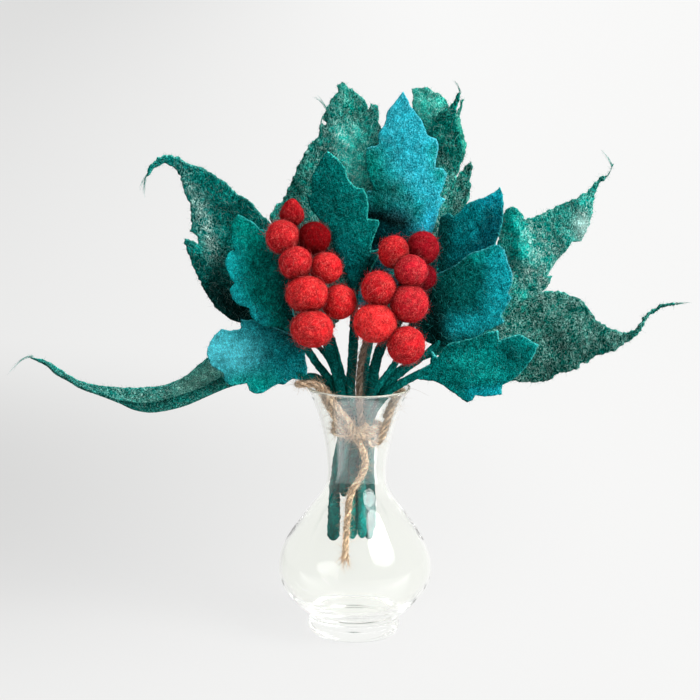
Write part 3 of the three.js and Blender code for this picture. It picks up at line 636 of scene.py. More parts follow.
@dataclass(frozen=True)
class Rope:
    """Three-strand jute twine, 4.3 mm thick, laid along a line."""

    radius: float = 2.15
    strands: int = 3
    pitch: float = 17
    sides: int = 10
    spacing: float = 0.6
    relief: float = 0.08
    strand_offset: float = 0.53
    strand_radius: float = 0.5
    fray_length: float = 5
    fray_spread: float = 0.9
    frayed_hairs: int = 160
    short_hairs_per_mm: float = 2.6
    long_hairs_per_mm: float = 8
    bast_per_mm: float = 3

    def lay(self, route: Points | Array, rng: np.random.Generator, frayed: bool = False,
            tone: float = 1) -> tuple[Shell, Shell]:
        """Twist the strands along a route.

        Args:
            route: The points that the twine's middle follows.
            rng: Where the random draws come from.
            frayed: Whether its last end opens into loose fibres.
            tone: How light this length is: painted shade below 1, painted light above.

        Returns:
            The strands with their short hairs, and the longer hairs that stand out.
        """
        line = respaced(smooth_line(route), self.spacing)
        tangents, normals, binormals = carried_axes(line, (0.2, 0.3, 0.93))
        along = np.concatenate([[0], np.cumsum(np.linalg.norm(np.diff(line, axis=0), axis=1))])
        start = rng.uniform(0, 2 * math.pi)
        shells = []
        for strand in range(self.strands):
            turn = (start + 2 * math.pi * (strand / self.strands + along / self.pitch)
                    + 0.12 * ripple(along[:, None], 11, rng))
            spread = self.radius * self.strand_offset * np.ones(len(line))
            if frayed:
                opened = np.clip((along - along[-1] + self.fray_length) / self.fray_length, 0, 1)
                spread += self.fray_spread * opened ** 2
            out = np.cos(turn)[:, None] * normals + np.sin(turn)[:, None] * binormals
            track = line + spread[:, None] * out
            thick = self.radius * (self.strand_radius + 0.03 * ripple(along[:, None], 6, rng))
            # Both ends of a strand are rounded off.
            thick[[0, -1]] *= 0.45
            thick[[1, -2]] *= 0.8
            shell = tube(np.column_stack([track, thick]), self.sides, self.relief, rng)
            shell.dyes = self.streaks_and_groove_shade(shell, line, along, rng)[:, None] * tone * np.ones(3)
            shells.append(shell)
            shells.append(self.bast(track, thick, tangents, rng, tone))
        short, long = (self.hairs(line, tangents, normals, binormals, rng, frayed, reach, tone)
                       for reach in (False, True))
        return Shell.joined([*shells, short]), long

    def bast(self, track: Array, thick: Array, tangents: Array, rng: np.random.Generator,
             tone: float) -> Shell:
        """Lay single bast fibres, pale and dark, along a strand.

        Args:
            track: The points of the strand's middle.
            thick: Its radius at each.
            tangents: The direction in which the twine runs at each.
            rng: Where the random draws come from.
            tone: How light this length of twine is.

        Returns:
            The fibres.
        """
        steps = 6
        count = round(self.bast_per_mm * self.spacing * len(track))
        first = rng.integers(0, len(track) - 3, count)
        spread = rng.uniform(3, 9, count)
        at = first[:, None] + spread[:, None] * np.linspace(0, 1, steps)
        at = np.clip(at, 0, len(track) - 1).astype(int)
        side = unit(np.cross(tangents[first], rng.normal(size=(count, 3))))
        other = np.cross(tangents[first], side)
        lean = rng.normal(0, 0.5, (count, 1)) * np.linspace(-1, 1, steps)
        way = np.cos(lean)[..., None] * side[:, None] + np.sin(lean)[..., None] * other[:, None]
        lift = 1 + rng.uniform(0.02, 0.16, (count, 1)) * np.sin(np.linspace(0.3, 2.9, steps))
        paths = track[at] + (thick[at] * lift)[..., None] * way
        shades = np.where(rng.random((count, 1)) < 0.4, rng.uniform(0.3, 0.7, (count, 1)),
                          rng.uniform(1.1, 1.75, (count, 1))) * tone
        return fibres(paths, rng.uniform(0.06, 0.13, count), shades * np.array([[1.02, 0.98, 0.92]]))

    def streaks_and_groove_shade(self, strand: Shell, line: Array, along: Array, rng: np.random.Generator) -> Array:
        """Say how light each point of a strand is: bast streaks run along it, and painted shade darkens its
        grooves.
        """
        angle = np.tile(np.arange(self.sides) * 2 * math.pi / self.sides, len(line))
        around = np.column_stack([np.cos(angle), np.sin(angle), 0.16 * np.repeat(along, self.sides)])
        away = np.linalg.norm(strand.points - np.repeat(line, self.sides, axis=0), axis=1) / self.radius
        streak = 1 + 0.3 * ripple(around, 1.6, rng) + 0.2 * ripple(around, 0.7, rng)
        return np.clip(streak, 0.5, 1.6) * np.clip(0.05 + 1.1 * (away - 0.15), 0.2, 1.05)

    def hairs(self, line: Array, tangents: Array, normals: Array, binormals: Array,
              rng: np.random.Generator, frayed: bool, long: bool, tone: float) -> Shell:
        """Let fine bast fibres stand out of the twine, more of them at a frayed end.

        Args:
            line: The points of the twine's middle.
            tangents: The direction in which it runs at each.
            normals: An axis square to it at each.
            binormals: The other axis square to it.
            rng: Where the random draws come from.
            frayed: Whether its last end opens into loose fibres.
            long: Whether these are the long hairs or the short ones.
            tone: How light this length of twine is.

        Returns:
            The hairs.
        """
        per_mm = self.long_hairs_per_mm if long else self.short_hairs_per_mm
        count = round(per_mm * self.spacing * len(line))
        at = rng.integers(1, len(line) - 1, count)
        if frayed and long:
            at = np.concatenate([at, rng.integers(len(line) - 7, len(line), self.frayed_hairs)])
        turn = rng.uniform(0, 2 * math.pi, len(at))[:, None]
        out = np.cos(turn) * normals[at] + np.sin(turn) * binormals[at]
        way = (rng.normal(size=(len(at), 1)) * 1.6) * tangents[at]
        way += rng.uniform(0.15, 0.9, (len(at), 1)) * out
        lengths = 1.5 + rng.gamma(1.5, 2, len(at)) if long else rng.uniform(0.8, 2.5, len(at))
        if frayed and long:
            way[count:] += 2.4 * tangents[at[count:]]
            lengths[count:] *= 1.3
        starts = line[at] + 0.85 * self.radius * out
        paths = loose_paths(starts, way, np.minimum(lengths, 10), 0.5 if long else 0.35, rng, 5)
        shades = rng.uniform(0.5, 1.5, len(at))[:, None] * (tone if not long else 0.95 * tone)
        return fibres(paths, rng.uniform(0.05, 0.12, len(at)), shades * np.array([[1.02, 0.97, 0.92]]))


@dataclass(frozen=True)
class FreeTwine:
    """A free length of the twine, as it runs from the knot. A tone other than 1 is painted light:
    the strand that goes up is darkened with painted shade, and the tail is lightened.
    """

    node: str
    route: tuple[tuple[float, float, float], ...]
    length: float
    far_end: str
    tone: float = 1

    def build(self, finishes: Finishes, seed: int) -> None:
        rope = Rope()
        frayed = self.far_end == "bare"
        strands, hairs = rope.lay(list(self.route), np.random.default_rng(seed), frayed, self.tone)
        piece = strands.piece(self.node + "_rope")
        settle(piece, Slot.JUTE, [self.node], finishes.jute)
        fluff = hairs.piece(self.node + "_hairs")
        settle(fluff, Slot.JUTE, [self.node], finishes.jute)


FREE_TWINES = (
    FreeTwine("twine_loop_left", (
        (-4.8, -18.6, 149), (-8, -19.2, 152.8), (-12, -18.9, 157.6), (-16.4, -18.6, 163.2),
        (-20.8, -19, 169.2), (-25.2, -20.6, 174.2), (-30, -22.8, 175.6), (-35.4, -22.8, 175.4),
        (-39.4, -19.2, 174.6), (-40.2, -13.4, 173.6), (-37.6, -8.8, 173.4), (-32.8, -7.8, 173.2),
        (-28.6, -10.4, 172.4), (-24.4, -13, 168.4), (-21, -14.2, 162.6), (-17.8, -15, 157),
        (-14.4, -15.9, 151.8), (-10.4, -16.8, 147.4)), 100, "object"),
    FreeTwine("twine_loop_right", (
        (6.2, -17.2, 136.6), (8.6, -15.9, 134.8), (11.2, -14.1, 134.4), (14, -11.9, 136),
        (16.6, -10.2, 140.4), (18.4, -9, 146), (20.2, -9.6, 153), (22.4, -10.4, 159.6),
        (24.8, -10.8, 164.8), (27.6, -8.8, 167.8), (29.2, -4.4, 168.5), (28.4, 0.6, 167.7),
        (26, 3.6, 164.4), (23.3, 4.4, 159), (20.8, 4, 153), (18.4, 3, 148)), 79, "object"),
    FreeTwine("twine_strand_up", (
        (2.2, -18.9, 148.2), (1.8, -18.8, 152), (1.2, -18.2, 158), (0.6, -18.2, 166),
        (0.4, -19.6, 176), (0.9, -21.4, 186), (1.8, -22.8, 194), (3.2, -23.6, 201), (5, -24, 208)),
        # This strand is darkened with painted shade.
        61, "object", 0.36),
    FreeTwine("twine_tail_down", (
        (0.4, -17.9, 137.4), (2.2, -17.2, 133.4), (4.2, -16.4, 129.2), (5.2, -15.7, 124.2),
        (5.2, -14.9, 118.6), (3.4, -15.1, 113.2), (1, -15.1, 108.6), (-2.2, -15.2, 103.2),
        (-4.3, -16, 97), (-5.2, -16.8, 89), (-5.8, -17.2, 80), (-6.2, -17.3, 71), (-6.5, -17.1, 62),
        # The tail is lightened with painted light.
        (-6.7, -17, 55.6)), 86, "bare", 1.15),
)


@dataclass(frozen=True)
class Binding:
    """The two turns of twine round the stems, with the knot in front."""

    height: float = 142
    radius: float = 14.95
    middle: float = -0.6
    knot_arcs: tuple[Any, ...] = (
        ((-8.2, -13.8, 138.6), (-5, -17.4, 140.4), (-1, -19.2, 142.9), (3, -18.2, 145.6),
         (5.8, -14.6, 148)),
        ((-7.4, -14.4, 147.6), (-4.4, -18, 146), (-0.6, -20, 143.4), (3.4, -18.6, 140.4),
         (6.6, -14.8, 137.8)),
        ((-3.4, -15, 149.6), (-3.6, -18.2, 148.4), (-2.8, -20.4, 144), (-1.6, -19.2, 139.4),
         (-1.2, -15.6, 137.6)),
    )

    def build(self, finishes: Finishes, seed: int) -> None:
        """Wind the two turns, tie the knot and dress them."""
        rng = np.random.default_rng(seed)
        rope = Rope()
        shells = []
        for side in (-1, 1):
            turns = np.linspace(0, 2 * math.pi, 25) + math.pi / 2 + 0.15
            ring = [(self.middle + self.radius * math.cos(a), self.radius * math.sin(a),
                     self.height + side * 0.97 * rope.radius + 0.25 * math.sin(2 * a + side)) for a in turns]
            shells += rope.lay(ring, rng)
        for arc in self.knot_arcs:
            shells += rope.lay(list(arc), rng)
        piece = Shell.joined(shells).piece("twine_band_and_knot")
        settle(piece, Slot.JUTE, ["twine_binding"], finishes.jute)


# ---- Stems ---------------------------------------------------------------------------------------

@dataclass(frozen=True)
class Stem:
    """A stem of wrapped felt, from its foot in the vase through the bundle to its leaf.

    The stems are packed in two rings of places. Each level of the bundle has a height, a widening
    of the rings, a shift in X, and the radius of a stem. Below foot_top it takes on foot_tone.
    """

    ring: float
    turn: float
    foot: float
    free: tuple[tuple[float, float, float, float], ...]
    girth: float = 1
    foot_tone: float = 1
    free_height: float = 88
    levels: tuple[tuple[float, float, float, float], ...] = (
        (60, 1.3, -2, 3.2), (88, 1.23, -2.2, 3), (118, 1.12, -2.5, 2.7), (137, 1, -0.8, 2.3),
        (149, 1, -0.5, 2.3))
    sides: int = 14
    spacing: float = 1.1
    relief: float = 0.045
    foot_top: float = 112
    foot_fade: float = 10
    fuzz_per_mm: float = 1.6

    def stations(self) -> Array:
        """Give the stem's places and radii from its foot upwards."""
        heights = [self.foot, *[level[0] for level in self.levels if level[0] > self.foot]]
        columns = np.array(self.levels).T
        angle = math.radians(self.turn)
        rows = []
        for height in heights:
            wide, shift, radius = (np.interp(height, columns[0], column) for column in columns[1:])
            reach = wide * self.ring
            rows.append((shift + reach * math.cos(angle), reach * math.sin(angle), height,
                         radius * (1 if height > self.free_height else self.girth)))
        free = np.array(self.free)
        return np.vstack([rows, np.column_stack([SHEET.lay(free[:, :3]), free[:, 3]])])

    def shell(self, last: Points, dye: str, rng: np.random.Generator) -> Shell:
        """Build the stem.

        Args:
            last: Further drawn stations (s, t, depth, radius), inside the leaf.
            dye: Its colour.
            rng: Where the random draws come from.

        Returns:
            The stem with its fuzz.
        """
        stations = self.stations()
        if last:
            end = np.array(last)
            stations = np.vstack([stations, np.column_stack([SHEET.lay(end[:, :3]), end[:, 3]])])
        line = respaced(smooth_line(stations), self.spacing)
        # The foot is rounded off.
        for step, share in enumerate((0.35, 0.7, 0.88, 0.97)):
            line[step, 3] *= share
        stem = tube(line, self.sides, self.relief, rng)
        tone = np.clip(1 + 0.2 * ripple(stem.points * [1, 1, 0.35], 7, rng), 0.5, 1.5)
        low = np.clip((self.foot_top - stem.points[:, 2]) / self.foot_fade, 0, 1)
        tone *= 1 + (self.foot_tone - 1) * low
        stem.dyes = tone[:, None] * np.array(linear(dye))
        count = round(len(line) * self.spacing * self.fuzz_per_mm)
        at = rng.integers(0, len(stem.points), count)
        centres = line[np.minimum(at // self.sides, len(line) - 1), :3]
        out = unit(stem.points[at] - centres)
        paths = loose_paths(stem.points[at], out + 1.2 * rng.normal(size=out.shape),
                            rng.uniform(0.5, 1.8, count), 0.4, rng)
        fuzz = fibres(paths, rng.uniform(0.04, 0.07, count), stem.dyes[at] * rng.uniform(1, 2.2, (count, 1)))
        return Shell.joined([stem, fuzz])


# ---- Leaves --------------------------------------------------------------------------------------

EDGE_STEP = 0.85  # between two points of a blade's edge
TOOTH = math.radians(48)  # where an outline turns by more than this, it has a sharp tooth
EDGE_PAINT_REACH = 0.45  # how far the edge's lighter colour, painted highlight and painted shade reach in
BODY_MARGIN = 1.2  # pale locks lie at least this far from the edge
CUT_ROUNDING = 1.0  # how wide the rounding of a cut edge is


@dataclass(frozen=True)
class FeltMake:
    """How a leaf's felt was made, and what that does to its blade."""

    thickness: float
    edge_share: float
    edge_reach: float
    jag: float
    nick: float
    wave: float
    fuzz_per_mm: float
    fuzz_length: float
    strands_per_cm2: float


class Make(Enum):
    """The two makes of felt leaf."""

    CUT = FeltMake(thickness=2.8, edge_share=1, edge_reach=1, jag=0.1, nick=0.04, wave=0.5,
                   fuzz_per_mm=2.6, fuzz_length=0.9, strands_per_cm2=6)
    WET = FeltMake(thickness=1.6, edge_share=0.3, edge_reach=3, jag=0.28, nick=0.09, wave=1.0,
                   fuzz_per_mm=3.4, fuzz_length=1.4, strands_per_cm2=16)


@dataclass
class Leaf:
    """A felt leaf on its stem, drawn on the sheet.

    The outline and the midrib are drawn there, and the rib also has its depth. fold and cup say how
    the left and the right side leave the rib; swells are bulges (from, to, reach, lift). Each patch,
    and each frost of pale fibre, runs from one drawn point to another (s, t, s, t, reach, and its
    colour or amount). The patches hold other dyes, painted shade and painted highlights. Wisps are
    long hairs through three drawn points (s, t, depth).
    """

    node: str
    make: Make
    dye: str
    edge: str
    outline: Points
    rib: Points
    fold: tuple[float, float]
    cup: tuple[float, float]
    stem: Stem | None = None
    swells: tuple[Any, ...] = ()
    tints_and_painted_light: tuple[tuple[Any, ...], ...] = ()
    frost: float = 0.1
    frosts: tuple[tuple[float, ...], ...] = ()
    wisps: tuple[Any, ...] = ()
    part: str = ""
    stem_dye: str = "#08605b"
    rounding: float = 4
    raggedness: float = 1
    cell: float = 1.15
    # the direction on the sheet from which the light falls, for the painted highlight and shade on the edge
    lit_side: tuple[float, float] = (0.8, 0.6)
    seed: int = 1

    def build(self, finishes: Finishes) -> None:
        """Make the blade, its loose fibres and its stem."""
        rng = np.random.default_rng(self.seed)
        border = self.border(rng)
        flat, faces, edge = self.triangulate(border)
        self.build_blade(border, flat, faces, edge, finishes, rng)
        self.build_fibres(border, flat, edge, finishes, rng)
        if self.stem:
            self.build_stem(finishes, rng)

    def slot(self) -> Slot:
        """Give the record slot of its felt."""
        return Slot.LEAF if self.make is Make.CUT else Slot.FINE_LEAF

    def border(self, rng: np.random.Generator) -> Array:
        """Run the outline smoothly between its sharp teeth and fray it a little."""
        given = np.array(self.outline, float)
        before, after = np.roll(given, 1, axis=0), np.roll(given, -1, axis=0)
        heading_in, heading_out = unit(given - before), unit(after - given)
        sharp = (heading_in * heading_out).sum(axis=1) < math.cos(TOOTH)
        through = unit(after - before)
        spans = []
        for i in range(len(given)):
            j = (i + 1) % len(given)
            length = np.linalg.norm(given[j] - given[i])
            start = (heading_out[i] if sharp[i] else through[i]) * length
            end = (heading_in[j] if sharp[j] else through[j]) * length
            u = np.linspace(0, 1, max(2, round(length / EDGE_STEP)), endpoint=False)[:, None]
            spans.append(hermite(given[i], start, given[j], end, u))
        line = np.vstack(spans)
        felt = self.make.value
        out = felt.jag * ripple(line, 5, rng) + 0.5 * felt.jag * ripple(line, 2.4, rng)
        out = self.raggedness * (out + felt.nick * rng.normal(size=len(line)))
        return line + np.clip(out, -2, 1.2)[:, None] * self.outward(line)

    def outward(self, border: Array) -> Array:
        """Give the directions that point out of a closed border on the sheet."""
        tangents = unit(np.roll(border, -1, axis=0) - np.roll(border, 1, axis=0))
        x, y = border.T
        way = np.sign((x * np.roll(y, -1) - np.roll(x, -1) * y).sum())
        return way * np.column_stack([tangents[:, 1], -tangents[:, 0]])

    def triangulate(self, border: Array) -> tuple[Array, list[list[int]], Array]:
        """Fill the border with even triangles.

        Args:
            border: The points of the edge, in order.

        Returns:
            The points on the sheet, the triangles, and each point's distance from the edge.
        """
        low, high = border.min(axis=0), border.max(axis=0)
        columns = np.arange(low[0], high[0], self.cell)
        rows = np.arange(low[1], high[1], self.cell * math.sqrt(3) / 2)
        grid = np.array([(x + (k % 2) * self.cell / 2, y) for k, y in enumerate(rows) for x in columns])
        inside = np.zeros(len(grid), bool)
        for (x0, y0), (x1, y1) in zip(border, np.roll(border, -1, axis=0)):
            if y0 != y1:
                crosses = (y0 > grid[:, 1]) != (y1 > grid[:, 1])
                inside ^= crosses & (grid[:, 0] < (x1 - x0) * (grid[:, 1] - y0) / (y1 - y0) + x0)
        grid = grid[inside]
        closed = np.vstack([border, border[:1]])
        grid = grid[nearest_on(closed, grid).away > 0.62 * self.cell]
        given = [Vector(p) for p in np.vstack([border, grid])]
        count = len(border)
        loop = [(i, (i + 1) % count) for i in range(count)]
        points, _, faces, *_ = delaunay_2d_cdt(given, loop, [], 1, 1e-5)
        flat = np.array([tuple(p) for p in points])
        return flat, faces, nearest_on(closed, flat).away

    def surface(self, places: Array) -> Array:
        """Give the blade's middle surface over places on the sheet."""
        return SHEET.lay(self.drawn(places))

    def drawn(self, places: Array) -> Array:
        """Give the drawn points (s, t, depth) of the blade over places on the sheet."""
        near = nearest_on(respaced(smooth_line(self.rib), 3), places)
        right = near.side >= 0
        fold = np.where(right, self.fold[1], self.fold[0])
        cup = np.where(right, self.cup[1], self.cup[0])
        depth = near.values[:, 2] + fold * (np.hypot(near.away, self.rounding) - self.rounding)
        depth = depth + cup * near.away**2
        for start, end, reach, lift in self.swells:
            away = nearest_on(np.array([start, end], float), places).away
            depth = depth - lift * np.exp(-((away / reach) ** 2))
        return np.column_stack([places, depth + self.unevenness(places)])

    def unevenness(self, places: Array) -> Array:
        """Give the soft random waves of the felt: long ones, shorter ones and its grain."""
        wave = self.make.value.wave
        layers = ((wave, 32, 8), (0.3 * wave, 11, 10), (0.1, 4, 12))
        return sum(height * ripple(places, length, np.random.default_rng(self.seed + 100 * step), waves)
                   for step, (height, length, waves) in enumerate(layers, 1))

    def dyes(self, places: Array, edge: Array, rng: np.random.Generator,
             turned: Array | float = 0.5) -> Array:
        """Give the dye at places on the sheet.

        Args:
            places: The places.
            edge: How far each is from the edge.
            rng: Where the random draws come from.
            turned: How far the edge there is turned to the lit side, from -1 to 1. A painted highlight
            makes the edge's lighter colour stronger on that side, and painted shade darker on the other.

        Returns:
            One colour for each place.
        """
        colour = np.tile(linear(self.dye), (len(places), 1))
        # Patches of other dyes, of painted shade and of painted highlights are laid over the dye.
        for *ends, reach, code in self.tints_and_painted_light:
            share = self.share_near(places, ends, reach)[:, None]
            colour += share * (np.array(linear(code)) - colour)
        tone = 1 + 0.12 * ripple(places, 9, rng) + 0.08 * ripple(places, 3.5, rng)
        colour *= np.clip(tone, 0.6, 1.5)[:, None]
        # Painted shade on edges that face away from the light; elsewhere the lighter edge colour, its own
        # and, where it faces the light, a painted highlight.
        near = np.exp(-((edge / EDGE_PAINT_REACH) ** 2))
        colour *= (1 - 0.6 * np.clip(-turned, 0, 1) * near)[:, None]
        share = (0.7 + 0.2 * ripple(places, 30, rng).clip(-1, 1)) * np.clip(0.35 + turned, 0, 1.1) * near
        share = share[:, None]
        return colour + share * (np.array(linear(self.edge)) - colour)

    def share_near(self, places: Array, ends: list[float], reach: float) -> Array:
        """Say how strongly a patch from one drawn point to another colours each place."""
        line = np.array(ends, float).reshape(2, 2) + [(0, 0), (0.01, 0)]
        return np.exp(-((nearest_on(line, places).away / reach) ** 2))

    def frosting(self, places: Array) -> Array:
        """Say how much pale fibre lies at places on the sheet."""
        amount = np.full(len(places), float(self.frost))
        for *ends, reach, most in self.frosts:
            amount += self.share_near(places, ends, reach) * (most - amount)
        return amount

    def build_blade(self, border: Array, flat: Array, faces: list[list[int]], edge: Array,
                    finishes: Finishes, rng: np.random.Generator) -> None:
        """Give the blade its thickness, its cut or feathered edge and its felt.

        Args:
            border: The points of the edge on the sheet, in order.
            flat: All points on the sheet; the edge comes first.
            faces: The triangles between them.
            edge: Each point's distance from the edge.
            finishes: The finishes.
            rng: Where the random draws come from.
        """
        felt = self.make.value
        # How far each edge point faces the light, which sets its painted highlight and shade.
        turned = np.zeros(len(flat))
        turned[:len(border)] = self.outward(border) @ self.lit_side
        dyes = np.column_stack([self.dyes(flat, edge, rng, turned), self.frosting(flat)])
        piece = Shell(self.surface(flat), faces, dyes).piece(f"blade_{self.node}{self.part}")
        group = piece.vertex_groups.new(name="body")
        body = felt.edge_share + (1 - felt.edge_share) * np.clip(edge / felt.edge_reach, 0, 1) ** 0.6
        for share in np.unique(np.round(body, 2)):
            group.add(np.flatnonzero(np.round(body, 2) == share).tolist(), float(share), "REPLACE")
        cut = self.make is Make.CUT
        piece.data.materials.append(finishes.cut_felt if cut else finishes.wet_felt)
        piece.data.materials.append(finishes.cut_edge)
        apply_modifier(piece, "SOLIDIFY", thickness=felt.thickness * MM, offset=0, vertex_group="body",
                       thickness_vertex_group=0, material_offset_rim=1 if cut else 0)
        if cut:
            apply_modifier(piece, "BEVEL", width=CUT_ROUNDING * MM, segments=2, limit_method="ANGLE",
                           angle_limit=math.radians(62))
        select_only(piece)
        bpy.ops.object.shade_smooth_by_angle(angle=math.radians(55))
        used = [finishes.cut_felt, finishes.cut_edge] if cut else [finishes.wet_felt]
        kept = np.zeros(len(piece.data.polygons), np.int32)
        piece.data.polygons.foreach_get("material_index", kept)
        settle(piece, self.slot(), [self.node], *used)
        piece.data.polygons.foreach_set("material_index", kept if cut else np.zeros_like(kept))

    def build_fibres(self, border: Array, flat: Array, edge: Array, finishes: Finishes,
                     rng: np.random.Generator) -> None:
        """Let fibres stand out of the edge and lie in locks on the blade.

        Args:
            border: The points of the edge on the sheet, in order.
            flat: All points on the sheet.
            edge: Each point's distance from the edge.
            finishes: The finishes.
            rng: Where the random draws come from.
        """
        felt = self.make.value
        outward = self.outward(border)
        span = np.linalg.norm(np.roll(border, -1, axis=0) - border, axis=1).sum()
        at = rng.integers(0, len(border), round(felt.fuzz_per_mm * span))
        roots = border[at] - 0.5 * outward[at]
        here = self.surface(roots)
        out = unit(self.surface(roots + 0.5 * outward[at]) - here)
        front = -SHEET.axes()[2]
        starts = here + rng.uniform(-0.5, 0.5, (len(at), 1)) * felt.thickness * felt.edge_share * front
        lengths = 0.5 + felt.fuzz_length * rng.gamma(1.4, 0.5, len(at))
        ways = out + 0.55 * rng.normal(size=out.shape)
        paths = loose_paths(starts, ways, np.minimum(lengths, 5), 0.4, rng)
        # The edge fibres take the edge's dye as if it half faced the light, painted highlight included.
        dyes = self.dyes(roots, np.full(len(at), 0.5), rng) * rng.uniform(0.8, 1.7, (len(at), 1))
        shells = [fibres(paths, rng.uniform(0.04, 0.08, len(at)), dyes)]
        shells.append(self.lying_strands(flat[edge > BODY_MARGIN], rng))
        if self.wisps:
            shells.append(self.hair_wisps(rng))
        piece = Shell.joined(shells).piece(f"fibres_{self.node}{self.part}")
        settle(piece, self.slot(), [self.node], finishes.fibre)

    def lying_strands(self, inner: Array, rng: np.random.Generator) -> Shell:
        """Lay pale locks of fibre on both faces of the blade.

        Args:
            inner: The points on the sheet that the locks may lie on.
            rng: Where the random draws come from.

        Returns:
            The locks.
        """
        felt = self.make.value
        area = len(inner) * self.cell**2 * 0.87 / 100
        count = max(8, round(2 * area * felt.strands_per_cm2))
        steps = 5
        at = inner[rng.integers(0, len(inner), count)]
        heading = rng.uniform(0, 2 * math.pi, count)
        bend = rng.normal(0, 0.5, count)
        lengths = rng.uniform(1.5, 5.5, count)
        u = np.linspace(-0.5, 0.5, steps)
        turn = heading[:, None] + bend[:, None] * u
        way = np.stack([np.cos(turn), np.sin(turn)], axis=-1)
        places = at[:, None] + lengths[:, None, None] * u[None, :, None] * way
        places = places.reshape(-1, 2)
        middle = self.surface(places)
        aside = self.surface(places + (0.4, 0)) - middle
        upward = self.surface(places + (0, 0.4)) - middle
        facing = unit(np.cross(aside, upward)).reshape(count, steps, 3)
        side = np.where(rng.random(count) < 0.5, 1.0, -1.0)[:, None, None]
        lift = (0.5 * felt.thickness + 0.02) * side
        paths = middle.reshape(count, steps, 3) + lift * facing
        base = self.dyes(at, np.full(count, 9.0), rng)
        pale = np.array(linear("#a4ccc2" if self.make is Make.WET else "#2fb4b0"))
        dyes = base + rng.uniform(0.1, 0.75, (count, 1)) * (pale - base)
        return fibres(paths, rng.uniform(0.06, 0.15, count), dyes)

    def hair_wisps(self, rng: np.random.Generator) -> Shell:
        """Draw out long hairs where the felt ends in a wisp."""
        each, steps = 11, 9
        u = np.linspace(0, 1, steps)[None, :, None]
        hairs = []
        for wisp in self.wisps:
            start, bend, end = SHEET.lay(np.array(wisp, float))
            first = start + rng.normal(0, 0.5, (each, 1, 3))
            middle = bend + rng.normal(0, 0.5, (each, 1, 3))
            last = end + rng.normal(0, 0.9, (each, 1, 3))
            reach = u * rng.uniform(0.5, 1, (each, 1, 1))
            hairs.append((1 - reach) ** 2 * first + 2 * reach * (1 - reach) * middle + reach**2 * last)
        paths = np.vstack(hairs)
        dyes = np.tile(linear(self.edge), (len(paths), 1)) * rng.uniform(0.4, 1.1, (len(paths), 1))
        return fibres(paths, rng.uniform(0.07, 0.16, len(paths)), dyes)

    def build_stem(self, finishes: Finishes, rng: np.random.Generator) -> None:
        """Make the stem, which runs on inside the blade as its wire."""
        half = 0.5 * self.make.value.thickness
        base, following = np.array(self.rib[0]), np.array(self.rib[1])
        middle = (base + following) / 2
        last = [(*base, half + 0.9), (*middle, max(0.5, half - 0.2))]
        piece = self.stem.shell(last, self.stem_dye, rng).piece("stem_" + self.node)
        settle(piece, self.slot(), [self.node], finishes.stem_felt)


@dataclass
class GutterLeaf(Leaf):
    """The lower left leaf, folded like a gutter.

    It is drawn opened, as the length along the fold and the height that each side rises above it:
    the back side (+) and the front lip (-). Its rib is the bottom of the gutter.
    """

    lean: float = 0.9
    rounding: float = 2.4
    raggedness: float = 0.4

    def drawn(self, places: Array) -> Array:
        """Give the drawn points (s, t, depth) of the folded blade."""
        line = smooth_line(self.rib)
        t = np.interp(places[:, 0], line[:, 0], line[:, 1])
        depth = np.interp(places[:, 0], line[:, 0], line[:, 2])
        across = places[:, 1]
        t = t + np.hypot(across, self.rounding) - self.rounding
        depth = depth + self.lean * across + 0.6 * self.unevenness(places)
        return np.column_stack([places[:, 0], t, depth])

    def build_stem(self, finishes: Finishes, rng: np.random.Generator) -> None:
        """Make the stem, which ends in the fold."""
        piece = self.stem.shell([], self.stem_dye, rng).piece("stem_" + self.node)
        settle(piece, Slot.FINE_LEAF, [self.node], finishes.stem_felt)


INNER, OUTER = 5.1, 10.1  # the two rings of places in the bundle
